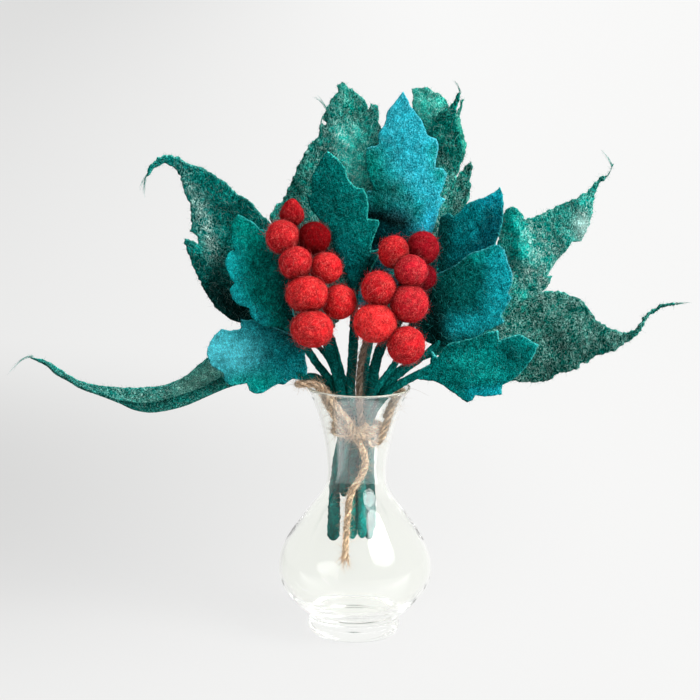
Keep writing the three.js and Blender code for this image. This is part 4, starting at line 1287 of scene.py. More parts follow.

# Near-black patches are painted shade, where a leaf sinks behind others or lies by the berries; some lighter
# ones on sides that face the light are painted highlights.
LEAVES = (
    Leaf("leaf_small_centre", Make.CUT, "#004f4b", "#3cc8bc", [
        (-15.3, 132.7), (-18, 128.7), (-21.3, 122.7), (-24.7, 115.3), (-25.3, 109.3), (-25.3, 103.6),
        (-28, 102.7), (-27.3, 98), (-24.7, 92.7), (-18.7, 84.7), (-14, 76.7), (-9.3, 65.3), (-5.3, 56.7),
        (-1, 46.7), (1, 38), (5.5, 38), (8, 44), (13.3, 52), (18.7, 62), (20.7, 65.3), (19.3, 67.3),
        (13.3, 66), (14, 70.7), (17.3, 79.3), (19.3, 84.7), (18.7, 86.7), (11.3, 87.3), (12, 95.3),
        (10.7, 102.7), (8.7, 107.3), (4, 108), (-1.3, 113.3), (-3.3, 120.7), (-9.3, 128)],
        [(3, 38, -16), (2, 60, -20), (-2, 85, -22), (-8, 110, -20), (-15.3, 132.7, -14)],
        (0.1, 0.16), (0.006, 0.006),
        Stem(OUTER, 270, 124, ((0.6, -28, -8.5, 3), (1.6, -8, -11, 3.2), (2.6, 14, -13, 3))),
        tints_and_painted_light=((-6, 68, 4, 40, 9, "#005c5c"), (16, 64, 12, 46, 5, "#003a38"),
                 (-16, 110, -18, 122, 8, "#004e4a"), (-16, 74, -4, 44, 6, "#002220"),
                 (15, 55, 6, 40, 5, "#001e1c")),
        seed=11),
    Leaf("leaf_small_top", Make.CUT, "#1a92a2", "#58ccdc", [
        (35.3, 172), (30.7, 166), (25.3, 158.7), (23.3, 150.7), (19.3, 144), (19.3, 137.3), (16.7, 136),
        (12, 134.7), (10.7, 130.7), (11.3, 122), (13.3, 114), (15.3, 109.3), (15.3, 106), (11.3, 105.3),
        (8, 96.7), (9.5, 85.3), (11, 73.3), (9, 58.7), (2, 44), (2, 30), (12, 26), (27, 34), (37, 52),
        (50, 67), (54.7, 79.3), (57.3, 87.3), (59.3, 94), (63.3, 100), (59.3, 102.7), (62, 110), (64, 116.7),
        (62, 120.7), (56.7, 121.3), (57.3, 128), (58.7, 134.7), (57.3, 140.7), (54.7, 141.3),
        (51.3, 143.3), (48, 152), (42, 160), (38, 167.3)],
        [(26, 44, 2), (33, 75, 0), (37, 110, 0), (37, 145, 4), (35.3, 172, 9)],
        (0.14, 0.14), (0.004, 0.004),
        Stem(INNER, 270, 66, ((7.5, -28, -3, 2.6), (13, 4, -6, 2.4), (20, 26, -2, 2.3)), foot_tone=2.6),
        tints_and_painted_light=((14, 128, 20, 100, 13, "#00756a"), (26, 108, 44, 92, 8, "#018484"),
                 (57, 132, 60, 116, 6, "#037f7c"), (14, 110, 30, 106, 8, "#005a54"),
                 (12, 90, 34, 84, 13, "#000a0a"), (10, 74, 46, 68, 12, "#001414"),
                 (54, 90, 52, 82, 5, "#1d9cb4"), (4, 58, 34, 36, 17, "#000c0c")),
        frost=0.8, frosts=((14, 120, 20, 60, 12, 0.2), (12, 80, 40, 74, 14, 0), (4, 58, 34, 36, 17, 0)),
        seed=12),
    Leaf("leaf_small_right_upper", Make.CUT, "#00585c", "#3cb8b8", [
        (99.7, 108.7), (97.3, 106), (88.7, 101.3), (79.3, 98), (74, 92.7), (69.3, 88.7), (65.3, 91.3),
        (60.7, 88), (59.3, 80), (57.3, 69.3), (55, 58), (51, 46), (56, 45), (69.3, 50), (84, 56),
        (95.3, 64), (97, 71.3), (100.7, 82), (102, 92.7), (101.3, 103.3)],
        [(53, 46, -4), (66, 66, -7), (83, 87, -7), (99.7, 108.7, -2)],
        (0.14, 0.16), (0.004, 0.004),
        Stem(INNER, 330, 70, ((17, -27, -3, 2.5), (30, -9, 0, 2.3), (42, 18, 1, 2.3))),
        tints_and_painted_light=((90, 100, 97, 100, 6, "#067684"), (62, 84, 60, 56, 9, "#002c2a"),
                 (84, 60, 98, 86, 12, "#003a42")),
        seed=13),
    Leaf("leaf_small_right_middle", Make.CUT, "#003c38", "#4fb6c2", [
        (102, 67.3), (96.7, 70), (88, 66.7), (80, 64), (69.3, 56), (58, 50), (50, 42), (46, 28),
        (43, 18.7), (48, 8), (54.7, 4), (61, 2.5), (66, 3), (74, 6), (85.3, 9.3), (90.7, 12.7),
        (98.7, 16.7), (102.7, 18.7), (100, 23.3), (104.7, 30), (107.3, 35.3), (104.7, 38),
        (106.7, 42), (108, 50), (104.7, 59.3)],
        [(58, 4, -13), (70, 22, -17), (86, 45, -18), (102, 67.3, -13)],
        (0.1, 0.14), (0.005, 0.005),
        Stem(INNER, 30, 68, ((25, -23, -3, 2.4), (35, -14.5, -6, 2.3), (47, -5.5, -10, 2.3))),
        tints_and_painted_light=((84, 62, 96, 64, 7, "#006058"), (101, 58, 100, 26, 12, "#0a7880"),
                 (70, 16, 92, 18, 8, "#0c7b82"), (54, 34, 58, 8, 10, "#001614"),
                 (82, 50, 78, 40, 8, "#004946")), seed=14),
    Leaf("leaf_small_right_lower", Make.CUT, "#005f5b", "#48c0bc", [
        (125.3, 3.3), (120, 6), (112.7, 10), (104.7, 8), (99.3, 6), (98.7, 12.7), (90.7, 11.3),
        (82, 8), (72, 5.5), (64.7, 3.3), (58.7, -5.3), (54.7, -0.7), (53.5, -9), (46, -14),
        (42, -19), (50, -20), (58, -21.3), (66.7, -26.7), (72, -30.7), (78, -34.7), (82, -33.3),
        (83.3, -30), (91.3, -30.7), (101.3, -29.3), (101.3, -23.3), (108.7, -19.3), (116.7, -12),
        (122, -4)],
        [(44, -17, -18), (62, -12, -22), (90, -8, -25), (125.3, 3.3, -20)],
        (0.12, 0.12), (0.004, 0.004),
        Stem(OUTER, 330, 66, ((25, -28.5, -11, 2.6), (34, -22.5, -15, 2.6))),
        tints_and_painted_light=((84, -30, 98, -28, 6, "#078590"), (74, -8, 92, -14, 8, "#06736d"),
                 (112, -6, 104, 2, 7, "#00423f"), (66, 2, 92, 8, 4, "#004a46")), seed=15),
    Leaf("leaf_small_left_upper", Make.CUT, "#006860", "#44c4c4", [
        (-74.7, 90), (-78, 85.3), (-79.3, 78.7), (-78.7, 72), (-76.7, 66.7), (-80.7, 64),
        (-82.7, 59.3), (-81.3, 52.7), (-78.7, 47.3), (-76.7, 44.7), (-80, 40.7), (-79.3, 37.3),
        (-74.7, 30.7), (-66.7, 28), (-66, 23.3), (-62, 18.7), (-56, 16), (-46.7, 15.3), (-38, 10),
        (-34.5, 14), (-38, 28), (-36.5, 44), (-39, 58), (-45, 72), (-52, 80), (-60, 80),
        (-63.3, 84), (-68.7, 87.3)],
        [(-37, 12, -10), (-50, 32, -13), (-63, 60, -13), (-74.7, 90, -7)],
        (0.12, 0.12), (0.006, 0.006),
        Stem(INNER, 210, 101, ((-10.8, -23, -5, 2.5), (-21.8, -9.5, -6.5, 2.6), (-28.5, 0.5, -8, 2.5))),
        tints_and_painted_light=((-72, 84, -60, 70, 9, "#006c62"), (-82, 60, -79, 36, 9, "#14b0b4"),
                 (-76, 32, -60, 20, 6, "#16a0a6"), (-40, 62, -38, 24, 9, "#002220")), seed=16),
    Leaf("leaf_small_left_lower", Make.CUT, "#007c82", "#5cd0da", [
        (-72.7, 20), (-72.7, 14), (-78.7, 12.7), (-85.3, 14), (-90.7, 9.3), (-94.7, 1.3),
        (-94.7, -4), (-91.3, -10.7), (-84, -15.3), (-83.3, -20), (-78.7, -23.3), (-68.7, -22),
        (-66.7, -27.3), (-61.3, -29.3), (-56, -27.3), (-48.7, -22.7), (-44, -22.7), (-39.3, -19.3),
        (-36, -19.5), (-30, -19.5), (-28.5, -14.5), (-30, -4), (-30, 1.3), (-36, 8), (-48, 14),
        (-60, 19)],
        [(-31, -17.5, -9), (-48, -9, -10), (-72, -2, -8), (-94.7, -1, -3)],
        (0.1, 0.12), (0.004, 0.004),
        Stem(OUTER, 210, 105, ((-16.5, -22.3, -2.5, 2.5), (-23.5, -18, -4, 2.5))),
        tints_and_painted_light=((-92, 2, -76, -4, 15, "#52ccda"), (-74, -24, -56, -22, 9, "#009c94"),
                 (-34, 6, -44, 14, 7, "#003634")),
        frost=0.4, seed=17),
    Leaf("leaf_large_upper_left", Make.WET, "#005650", "#4fb0a4", [
        (-136, 115.3), (-133.3, 117), (-130.7, 121), (-124.7, 124), (-119.3, 123), (-114.7, 118.7),
        (-112.7, 112.7), (-110, 104), (-106.7, 97.3), (-106, 89), (-105.3, 82), (-106.7, 79.3),
        (-102.7, 77.3), (-100.7, 70), (-106, 72.7), (-110.7, 74.7), (-108.7, 66.7), (-105.3, 57.3),
        (-102, 50), (-97.3, 40.7), (-92.7, 32.7), (-86.7, 26), (-80.7, 21.3), (-73.7, 18.7),
        (-66.7, 20), (-56, 11), (-43.3, 8), (-34, 12), (-33, 26), (-37, 42), (-44.7, 58.7),
        (-47.5, 72), (-53.7, 85.3), (-59.3, 90.7), (-68.7, 100.7), (-75.3, 104), (-82, 110.7),
        (-94.7, 119.3), (-106, 124), (-117.3, 129.3), (-123, 130), (-128.7, 127.3), (-134.7, 120.7)],
        [(-38, 10, 10), (-58, 38, 16), (-78, 70, 16), (-97, 98, 9), (-118, 126, 0), (-136, 115.3, -8)],
        (-0.2, -0.16), (-0.006, -0.006),
        Stem(OUTER, 150, 103, ((-7.6, -21, 5, 2.4), (-15, -5, 7, 1.8), (-20.6, 1.8, 8, 1.8),
                               (-29, 8, 9, 2))),
        swells=(((-95, 60), (-108, 68), 7, 6),),
        tints_and_painted_light=((-92, 38, -72, 24, 15, "#002220"), (-60, 90, -50, 70, 8, "#00605a"),
                 (-100, 118, -82, 104, 6, "#007068")),
        frost=0.06, frosts=((-111, 118, -102, 100, 5, 0.8), (-101, 98, -90, 62, 4.5, 1.9),
                            (-108, 108, -104, 102, 4, 1.4)),
        wisps=(((-136, 115, -8), (-138, 108, -8), (-137, 101, -8)),
               ((-134, 118, -7), (-140, 112, -8), (-140, 106, -8))),
        seed=21),
    Leaf("leaf_large_top_left", Make.WET, "#00766c", "#3fae9e", [
        (-5.3, 179), (-8.7, 176), (-8, 172), (-12.7, 166.7), (-16, 160.7), (-17.3, 155.3),
        (-15.3, 149.3), (-18.7, 151.3), (-20.7, 148), (-20.7, 142), (-24.7, 139.3), (-28.7, 134),
        (-32.7, 126.7), (-36.7, 118), (-40.7, 108.7), (-44.7, 100), (-48.7, 97.3), (-52.7, 90.7),
        (-53.3, 86), (-46, 72), (-36, 56), (-26, 36), (-18, 14), (-11.5, 14), (-4, 24), (8, 34), (17, 48),
        (20, 73.3), (26, 92), (30, 99), (26, 108), (22.7, 126.7), (21.5, 140), (20.7, 147.3),
        (19.3, 151.3), (19.3, 158.7), (18.7, 162.7), (14, 164), (12.3, 159.3), (11.3, 164),
        (7.3, 168.7), (3.3, 172.7), (-1.3, 175.3)],
        [(-14.5, 15, 16), (-14, 50, 24), (-14, 90, 27), (-8, 130, 24), (-1, 160, 16), (-5.3, 179, 12)],
        (0.24, -0.12), (-0.004, -0.006),
        Stem(OUTER, 90, 65, ((-4, -23, 11, 2.9), (-8.4, -8, 14, 2.9), (-12, 5, 15, 2.9))),
        tints_and_painted_light=((-30, 124, -40, 92, 11, "#005249"), (0, 142, 2, 112, 10, "#2cc4b6"),
                 (-2, 172, 2, 160, 9, "#007e70"), (-30, 68, 0, 56, 17, "#001e1c")),
        frost=0.7, frosts=((-6, 140, -6, 112, 12, 1.7), (-32, 120, -42, 92, 9, 0.2),
                           (-30, 66, 0, 52, 17, 0.1)),
        wisps=(((-14, 158, 14), (-19, 168, 14), (-25, 169, 14)),
               ((-18, 156, 14), (-22, 148, 14), (-15, 140, 14))),
        seed=22),
    Leaf("leaf_large_top_right", Make.WET, "#00594f", "#3fa898", [
        (76, 167), (74.5, 161), (73.2, 155), (74.8, 147), (77, 139), (76.8, 132), (74.7, 125.3),
        (72.7, 119.3), (70.7, 115.3), (76, 121.3), (80.7, 125.7), (82, 122), (80, 114), (80.7, 106),
        (78.7, 99.3), (75.5, 89), (70, 73.3), (60, 53.3), (46.7, 33.3), (29, 10), (20, 14), (25.3, 53.3),
        (30, 80), (31, 107), (37, 127), (41.3, 146.7), (42, 160), (42, 170.7), (40.7, 174), (44, 174.7),
        (50.7, 174.7), (55.3, 172.7), (62, 168.7), (65.3, 164), (66, 158), (70, 157), (73, 162), (74, 167)],
        [(25, 12, 18), (41, 50, 24), (47, 90, 24), (50, 125, 21), (57, 152, 17), (66, 163, 14),
         (70.5, 176, 12)],
        (0.3, -0.3), (0.006, 0.004),
        Stem(OUTER, 60, 66, ((11, -24, 9, 2.9), (19, -4, 14, 2.8))),
        tints_and_painted_light=((44, 172, 60, 150, 15, "#2cbaa8"), (75, 165, 76, 134, 4, "#2cb39c"),
                 (61, 128, 60, 80, 5, "#2fa092")),
        frost=0.6, frosts=((48, 168, 60, 152, 14, 1.1), (61, 128, 60, 80, 7, 0.5)), seed=23),
    Leaf("leaf_large_top_right", Make.WET, "#005249", "#1d9484", [
        (73.8, 172), (72.7, 166), (71.2, 160), (70.7, 154), (72, 147), (74.2, 140), (75, 133), (74.2, 126),
        (72, 119), (69, 108), (65, 92), (60, 76), (50, 66), (47, 84), (50, 104), (51, 124), (51.3, 141.3),
        (52.4, 143.8), (55.3, 150.7), (58, 156), (62.7, 160.4), (66.7, 162.7), (69.6, 166.4), (71.4, 170.6)],
        [(55, 66, 19), (60, 100, 17), (62, 130, 13), (66, 152, 10), (73.8, 172, 8)],
        (0.2, -0.2), (0.006, 0.004),
        tints_and_painted_light=((60, 112, 58, 70, 7, "#12857a"),), frost=0.08, frosts=((61, 118, 56, 70, 8, 1.3),),
        wisps=(((73.4, 171, 8), (73, 176, 8), (68.5, 180, 8)),), part="_front", seed=28),
    Leaf("leaf_large_upper_right", Make.WET, "#00897d", "#4cbfae", [
        (175.3, 124), (172, 117.3), (167.3, 115.3), (160.7, 108.7), (154.7, 103.3), (144.7, 98.7),
        (134, 94), (124, 89.3), (117.3, 86.7), (114.7, 90.7), (111.3, 94.7), (107.3, 95.3),
        (103.3, 92.7), (100.5, 84), (98, 68), (93, 50), (83, 30), (68, 12), (53, -0.5), (57, -4.2),
        (74, -2), (96.7, 10), (113.3, 21.3), (124, 30.7), (126, 36), (132, 43.3), (134.7, 49.3),
        (130.7, 49.3), (137.3, 58.7), (143.3, 65.3), (148, 72), (154, 72.7), (157.3, 78.7),
        (160.7, 87.3), (162, 94), (162, 99.3), (164, 106), (166.7, 111.3), (172, 116)],
        [(56, -2, 13), (84, 22, 18), (112, 52, 17), (140, 82, 9), (163, 108, 0), (175.3, 124, -5)],
        (0.2, 0.16), (0.004, 0.006),
        Stem(OUTER, 30, 68, ((22, -24, 7, 2.8), (35.5, -12, 10, 2.6), (46, -5.4, 12, 2.4))),
        swells=(((109, 92), (114, 62), 8, 4.5),),
        tints_and_painted_light=((155, 84, 160, 76, 6, "#a0cec6"), (108, 92, 111, 64, 8, "#029e94"),
                 (100, 60, 84, 30, 8, "#00504a"), (122, 50, 130, 40, 8, "#006a60"),
                 (165, 108, 174, 121, 5, "#006a60")),
        frost=0.7, frosts=((118, 76, 144, 58, 9, 2.5), (112, 56, 128, 46, 8, 1.9), (108, 92, 112, 64, 7, 0.1),
                           (157, 92, 156, 76, 5, 2.2)),
        wisps=(((174.5, 123, -5), (172.5, 128, -5), (167, 135, -5)),), seed=24),
    Leaf("leaf_large_lower_right", Make.WET, "#00544a", "#2fab9a", [
        (219.3, 30.7), (213.3, 31.6), (207.3, 30.3), (201.3, 27), (196, 22), (191.3, 15.3),
        (184.7, 12), (176.7, 13.3), (170.7, 16), (164, 20.7), (158.7, 28), (154, 33.3), (148, 36),
        (141.3, 38.7), (134, 39.3), (128, 38.7), (118, 34), (108, 26), (96, 14), (76, 2),
        (56, -6.5), (54, -13.5), (70, -14.5), (93.3, -18.7), (108, -20.7), (123.3, -21.3), (130, -20.7),
        (135.3, -18.7), (137.3, -16), (144.7, -14.7), (151.3, -12.7), (154.7, -8.7), (158.7, -8),
        (163.3, -4), (172, -2), (178.7, 0.7), (180, 2.7), (185.3, 5.3), (194, 13.3), (198, 20.7),
        (204, 26), (209, 28.5)],
        [(56, -11, 3), (85, 0, 4), (125, 8, 4), (160, 8, -4), (186, 9, -11), (203, 27, -16),
         (219.3, 30.7, -20)],
        (0.22, 0.2), (0.004, 0.004),
        Stem(OUTER, 0, 70, ((23, -28.5, 0, 2.8), (35, -21.6, 1, 2.7), (46, -16, 2, 2.6))),
        tints_and_painted_light=((70, 0, 110, 6, 9, "#005e55"), (190, 12, 215, 30, 5, "#006056")), frost=0.75,
        frosts=((190, 12, 215, 30, 6, 0.3),), wisps=(((217, 30.6, -20), (222, 32, -20), (228, 31, -20)),),
        seed=25),
    GutterLeaf("leaf_large_lower_left", Make.WET, "#0a7a70", "#22a698", [
        (-212.7, 1.2), (-214, 0), (-212.7, -1.2), (-202.7, -2), (-196, -2.2), (-186.7, -2.2),
        (-179.3, -2.2), (-167.3, -2.4), (-155, -2.6), (-151.3, -4), (-144.7, -6), (-134, -8),
        (-122, -9.2), (-109.3, -9.6), (-97.3, -9), (-86, -10), (-78.7, -8), (-60, -7.5), (-48, -5),
        (-38, -2.5), (-38, 2.5), (-48, 9), (-60, 20), (-72, 27), (-78.7, 33), (-86, 29), (-97.3, 26.5),
        (-109.3, 21.5), (-122, 19), (-134, 18.6), (-144.7, 16), (-151.3, 13), (-167.3, 8),
        (-179.3, 6.4), (-186.7, 5.6), (-196, 6.6), (-202.7, 4.4)],
        [(-216, -4, -8), (-202.7, -9.7, -4), (-196, -15.7, -2), (-186.7, -20.8, 1), (-179.3, -25.3, 3),
         (-167.3, -29.6, 6), (-151.3, -35.9, 9), (-144.7, -39, 10), (-134, -41, 11), (-122, -39.7, 12),
         (-109.3, -36.3, 13), (-97.3, -31.2, 13), (-86, -26.2, 13), (-78.7, -23.6, 13),
         (-60, -19, 12), (-38, -16, 9)],
        (0, 0), (0, 0),
        Stem(OUTER, 180, 63, ((-18, -27, 1, 2.6), (-27.8, -19.5, 5, 2.6), (-38, -16, 9, 2.4),
                              (-60, -18.4, 12, 1.2)), girth=1.32),
        tints_and_painted_light=((-214, 0, -165, 1, 7, "#0b665e"), (-190, 4, -125, 12, 6, "#085850"),
                 (-160, -8, -60, -9, 5, "#065a52"), (-110, 12, -78, 20, 8, "#5a9c8e"),
                 (-145, 8, -118, 9, 4, "#22685e"), (-60, 8, -44, 4, 10, "#0a3f3b")),
        frost=0.4, frosts=((-150, 10, -80, 12, 9, 0.8), (-160, -8, -60, -9, 5, 0.15)),
        wisps=(((-212, -4, -8), (-220, -4.5, -8), (-227.5, -16, -9)),), seed=26),
)


# ---- Berries -------------------------------------------------------------------------------------

@dataclass(frozen=True)
class Berry:
    """A felt ball: its drawn centre, radius, height as a share of its width, and dye.

    point says how far its top is drawn out, as a share of the radius. The rear berries' dyes are
    darker with painted shade, and that of the front berry at (16.7, 18) is lighter with painted light.
    """

    centre: tuple[float, float, float]
    radius: float
    flattening: float
    dye: str = "#d01e28"
    point: float = 0

    def brightness(self) -> float:
        """Say how bright its dye is, and so how pale the fibres in it are."""
        # A dye darkened with painted shade also gets fewer pale fibres.
        return min(1.0, (linear(self.dye)[0] / 0.6) ** 2)


@dataclass(frozen=True)
class BerryBunch:
    """A bunch of felt berries on its stem. The hairs are counted for each square millimetre."""

    side: str
    berries: tuple[Berry, ...]
    stem: Stem
    short_hairs: float = 4.6
    long_hairs: float = 0.8

    def build(self, ball: bpy.types.Object, finishes: Finishes, seed: int) -> None:
        """Copy the ball for each berry, fuzz them and add the stem.

        Args:
            ball: The felt ball of radius 1 that the berries are copied from.
            finishes: The finishes.
            seed: The start of the random draws.
        """
        rng = np.random.default_rng(seed)
        node = "berries_" + self.side
        unit_points = np.zeros(len(ball.data.vertices) * 3)
        ball.data.vertices.foreach_get("co", unit_points)
        unit_points = unit_points.reshape(-1, 3)
        fuzz = []
        for number, berry in enumerate(self.berries, 1):
            turned = unit_points @ np.array(
                Matrix.Rotation(rng.uniform(0, 6), 3, Vector(rng.normal(size=3)).normalized()))
            if berry.point:
                turned[:, 2] += berry.point * np.clip(turned[:, 2], 0, 1) ** 4
            centre = SHEET.lay(np.array(berry.centre))
            points = centre + turned * berry.radius * [1, 1, berry.flattening]
            piece = bpy.data.objects.new(f"berry_{self.side}_{number}", ball.data.copy())
            bpy.context.scene.collection.objects.link(piece)
            piece.data.vertices.foreach_set("co", (points * MM).ravel())
            piece.data.update()
            tone = np.clip(1 + 0.12 * ripple(points, 6, rng) + 0.08 * ripple(points, 2.2, rng), 0.6, 1.4)
            # Painted shade darkens each ball where it lies close to another.
            tone *= self.cleft_shade(points, berry)
            paint(piece, np.column_stack([tone[:, None] * np.array(linear(berry.dye)),
                                          np.full(len(tone), berry.brightness())]))
            settle(piece, Slot.BERRY, [node], finishes.ball_felt)
            fuzz.append(self.fuzz(berry, centre, rng))
        piece = Shell.joined(fuzz).piece("fuzz_" + node)
        settle(piece, Slot.BERRY, [node], finishes.fibre)
        piece = self.stem.shell([], "#065450", rng).piece("stem_" + node)
        settle(piece, Slot.STEM, ["berry_stem_" + self.side], finishes.stem_felt)

    def cleft_shade(self, points: Array, own: Berry) -> Array:
        """Give the painted shade in the clefts between the balls: 1 in the open, less in a cleft."""
        share = np.ones(len(points))
        for other in self.berries:
            if other is not own:
                gap = np.linalg.norm(points - SHEET.lay(np.array(other.centre)), axis=1) - other.radius
                share *= 1 - 0.65 * np.exp(-np.clip(gap, 0, None) / 3.2)
        return share

    def fuzz(self, berry: Berry, centre: Array, rng: np.random.Generator) -> Shell:
        """Let short hairs stand out of a ball, and lay long curled ones round it.

        Args:
            berry: The ball.
            centre: Its place.
            rng: Where the random draws come from.

        Returns:
            The hairs.
        """
        short = round(self.short_hairs * berry.radius**2)
        count = short + round(self.long_hairs * berry.radius**2)
        out = unit(rng.normal(size=(count, 3)))
        starts = centre + out * berry.radius * [1, 1, berry.flattening] * 0.985
        across = unit(np.cross(out, rng.normal(size=out.shape)))
        way = across + rng.uniform(0.15, 0.8, (count, 1)) * out
        lengths = np.minimum(0.8 + rng.gamma(1.6, 1.1, count), 6)
        lengths[short:] = rng.uniform(4, 13, count - short)
        steps = 9
        u = np.linspace(0, 1, steps)[None, :, None]
        aside = unit(np.cross(way, rng.normal(size=way.shape)))
        bend = rng.normal(0, 0.5, (count, 1, 1))
        paths = starts[:, None] + lengths[:, None, None] * (u * way[:, None] + bend * u**2 * aside[:, None])
        # A long hair follows the ball: each of its points is drawn back to just above the felt.
        away = paths - centre
        reach = np.linalg.norm(away, axis=-1, keepdims=True)
        above = berry.radius + rng.uniform(0.1, 1.6, (count, 1, 1)) * np.sin(2.6 * u)
        paths[short:] = (centre + away / reach * above)[short:]
        dyes = np.array(linear(berry.dye)) * rng.uniform(0.5, 1.7, (count, 1))
        odds = np.where(np.arange(count) < short, 0.15, 0.5)[:, None]
        light = rng.uniform(0.2, 1, (count, 1)) * (rng.random((count, 1)) < odds)
        dyes += berry.brightness() * light * np.array([[0.42, 0.24, 0.22]])
        # The hairs get the same painted shade in the clefts.
        dyes *= self.cleft_shade(starts, berry)[:, None]
        thick = rng.uniform(0.04, 0.085, count)
        return Shell.joined([fibres(paths[:short, ::2], thick[:short], dyes[:short]),
                             fibres(paths[short:], thick[short:], dyes[short:])])


def felt_ball() -> bpy.types.Object:
    """Model one felt ball of radius 1: a sphere with the lumps and pits of needle felting."""
    bpy.ops.object.select_all(action="DESELECT")
    bpy.ops.mesh.primitive_ico_sphere_add(subdivisions=6, radius=1)
    ball = bpy.context.object
    ball.name = "ball_pattern"
    for name, size, strength in (("lumps", 0.7, 0.06), ("pits", 0.2, 0.02), ("nap", 0.06, 0.012)):
        texture = bpy.data.textures.new(name, "CLOUDS")
        texture.noise_scale = size
        apply_modifier(ball, "DISPLACE", texture=texture, strength=strength, mid_level=0.5,
                       texture_coords="LOCAL")
    select_only(ball)
    bpy.ops.object.shade_smooth()
    return ball


# The darkest dyes, on the berries set furthest back, are painted shade; #f03034 is lightened as painted
# light.
BUNCHES = (
    BerryBunch("left", (
        Berry((-38.7, 90, -26), 8, 0.96, "#a8121c", 0.45), Berry((-44.7, 75.3, -32), 11.2, 1),
        Berry((-24, 74.7, -30), 10.9, 0.97, "#7e060e"), Berry((-36, 58, -38.5), 11.1, 1),
        Berry((-16, 54.7, -36), 10.6, 0.97, "#dc2028"), Berry((-28.7, 37.2, -42), 13.9, 0.88, "#da242a"),
        Berry((-7.3, 32, -34), 11.4, 1, "#dc2028"), Berry((-25.3, 14.2, -45), 13.9, 0.88, "#d8242a")),
        Stem(OUTER, 240, 97, ((-6, -28, -10.5, 3.2), (-12, -3, -20, 3.6), (-19, 13, -27, 3.2),
                              (-27, 36, -25.5, 2.8), (-32, 58, -27, 2.4), (-38, 72, -21, 1.6)))),
    BerryBunch("right", (
        Berry((29.3, 65.3, -36), 10.3, 1.05), Berry((48.7, 68, -33), 10.5, 1.04, "#a01020"),
        Berry((40.7, 52.7, -43), 10.8, 1, "#cc2030"), Berry((48.7, 48.7, -28), 8.7, 1, "#85091a"),
        Berry((19.3, 40.7, -44), 11.6, 1), Berry((39.3, 31, -43), 12.6, 1, "#d0202e"),
        Berry((16.7, 18, -45), 14.2, 0.91, "#f03034"), Berry((37.3, 3.3, -44), 12.5, 1)),
        Stem(OUTER, 300, 68, ((14.2, -28, -9.5, 3.1), (18.4, -4, -21, 3.4), (26.4, 14, -29, 3),
                              (33, 32, -30, 2.6), (35, 50, -31.5, 2.2), (36, 62, -26, 1.5)), foot_tone=2.8)),
)


# ---- Vase ----------------------------------------------------------------------------------------

@dataclass(frozen=True)
class Vase:
    """The blown-glass bulb vase, as a profile of radius and height that is spun round.

    The wall mirrors less low on the bulb, which keeps the reflection of the lit floor faint there:
    weak_mirror is the share that is left below mirror_height, and it is whole mirror_rise above.
    """

    outside: tuple[tuple[float, float], ...] = (
        (10, 2.2), (20, 1.6), (24.5, 0), (28.6, 1.6), (30.9, 7), (30.1, 12.6), (33, 16), (38.4, 20.4),
        (44.8, 27.8), (49.6, 35.6), (51.7, 46), (49.6, 57.4), (44.4, 68), (31.3, 86.6), (24.6, 95.2),
        (20.8, 103), (19.6, 111), (21.2, 127.7), (24.6, 144.1), (28.5, 156.2), (32.6, 166),
        (34.7, 169.4), (34.7, 170.3))
    inside: tuple[tuple[float, float], ...] = (
        (33.5, 170.2), (30.8, 166.2), (26.7, 156.8), (22.8, 144.7), (19.4, 128.2), (17.8, 111.2),
        (19.1, 103.6), (23, 96), (29.8, 87.4), (42.8, 67.2), (47.8, 56.8), (49.8, 46), (47.8, 36.4),
        (41, 26.6), (31, 19.4), (16, 15.6))
    floor: float = 14.8
    punt: float = 2.4
    turns: int = 96
    lip_height: float = 169.2
    lip_highlight_share: float = 0.6
    weak_mirror: float = 0.25
    mirror_height: float = 66
    mirror_rise: float = 12

    def build(self, finishes: Finishes) -> None:
        """Spin the profile into a closed wall of glass."""
        walls = [smooth_line([(r, 0, z) for r, z in side], 4) for side in (self.outside, self.inside)]
        profile = np.vstack([[(0, 0, self.punt)], *walls, [(0, 0, self.floor)]])
        mesh = bpy.data.meshes.new("vase_blown_glass")
        mesh.from_pydata((profile * MM).tolist(), [(i, i + 1) for i in range(len(profile) - 1)], [])
        piece = bpy.data.objects.new("vase_blown_glass", mesh)
        bpy.context.scene.collection.objects.link(piece)
        select_only(piece)
        bpy.ops.object.mode_set(mode="EDIT")
        bpy.ops.mesh.select_all(action="SELECT")
        bpy.ops.mesh.spin(steps=self.turns, angle=2 * math.pi, center=(0, 0, 0), axis=(0, 0, 1))
        bpy.ops.mesh.select_all(action="SELECT")
        bpy.ops.mesh.remove_doubles(threshold=0.01 * MM)
        bpy.ops.mesh.normals_make_consistent(inside=False)
        bpy.ops.object.mode_set(mode="OBJECT")
        bpy.ops.object.shade_smooth_by_angle(angle=math.radians(60))
        height = np.array([corner.co.z for corner in mesh.vertices]) / MM
        # The top of the lip gets a painted highlight.
        lip_highlights = self.lip_highlight_share * np.clip((height - self.lip_height) / 0.6, 0, 1)
        rise = np.clip((height - self.mirror_height) / self.mirror_rise, 0, 1)
        mirrors = self.weak_mirror + (1 - self.weak_mirror) * rise
        paint(piece, np.column_stack([mirrors, mirrors, mirrors, lip_highlights]))
        settle(piece, Slot.GLASS, ["vase"], finishes.glass)


# ---- Studio --------------------------------------------------------------------------------------

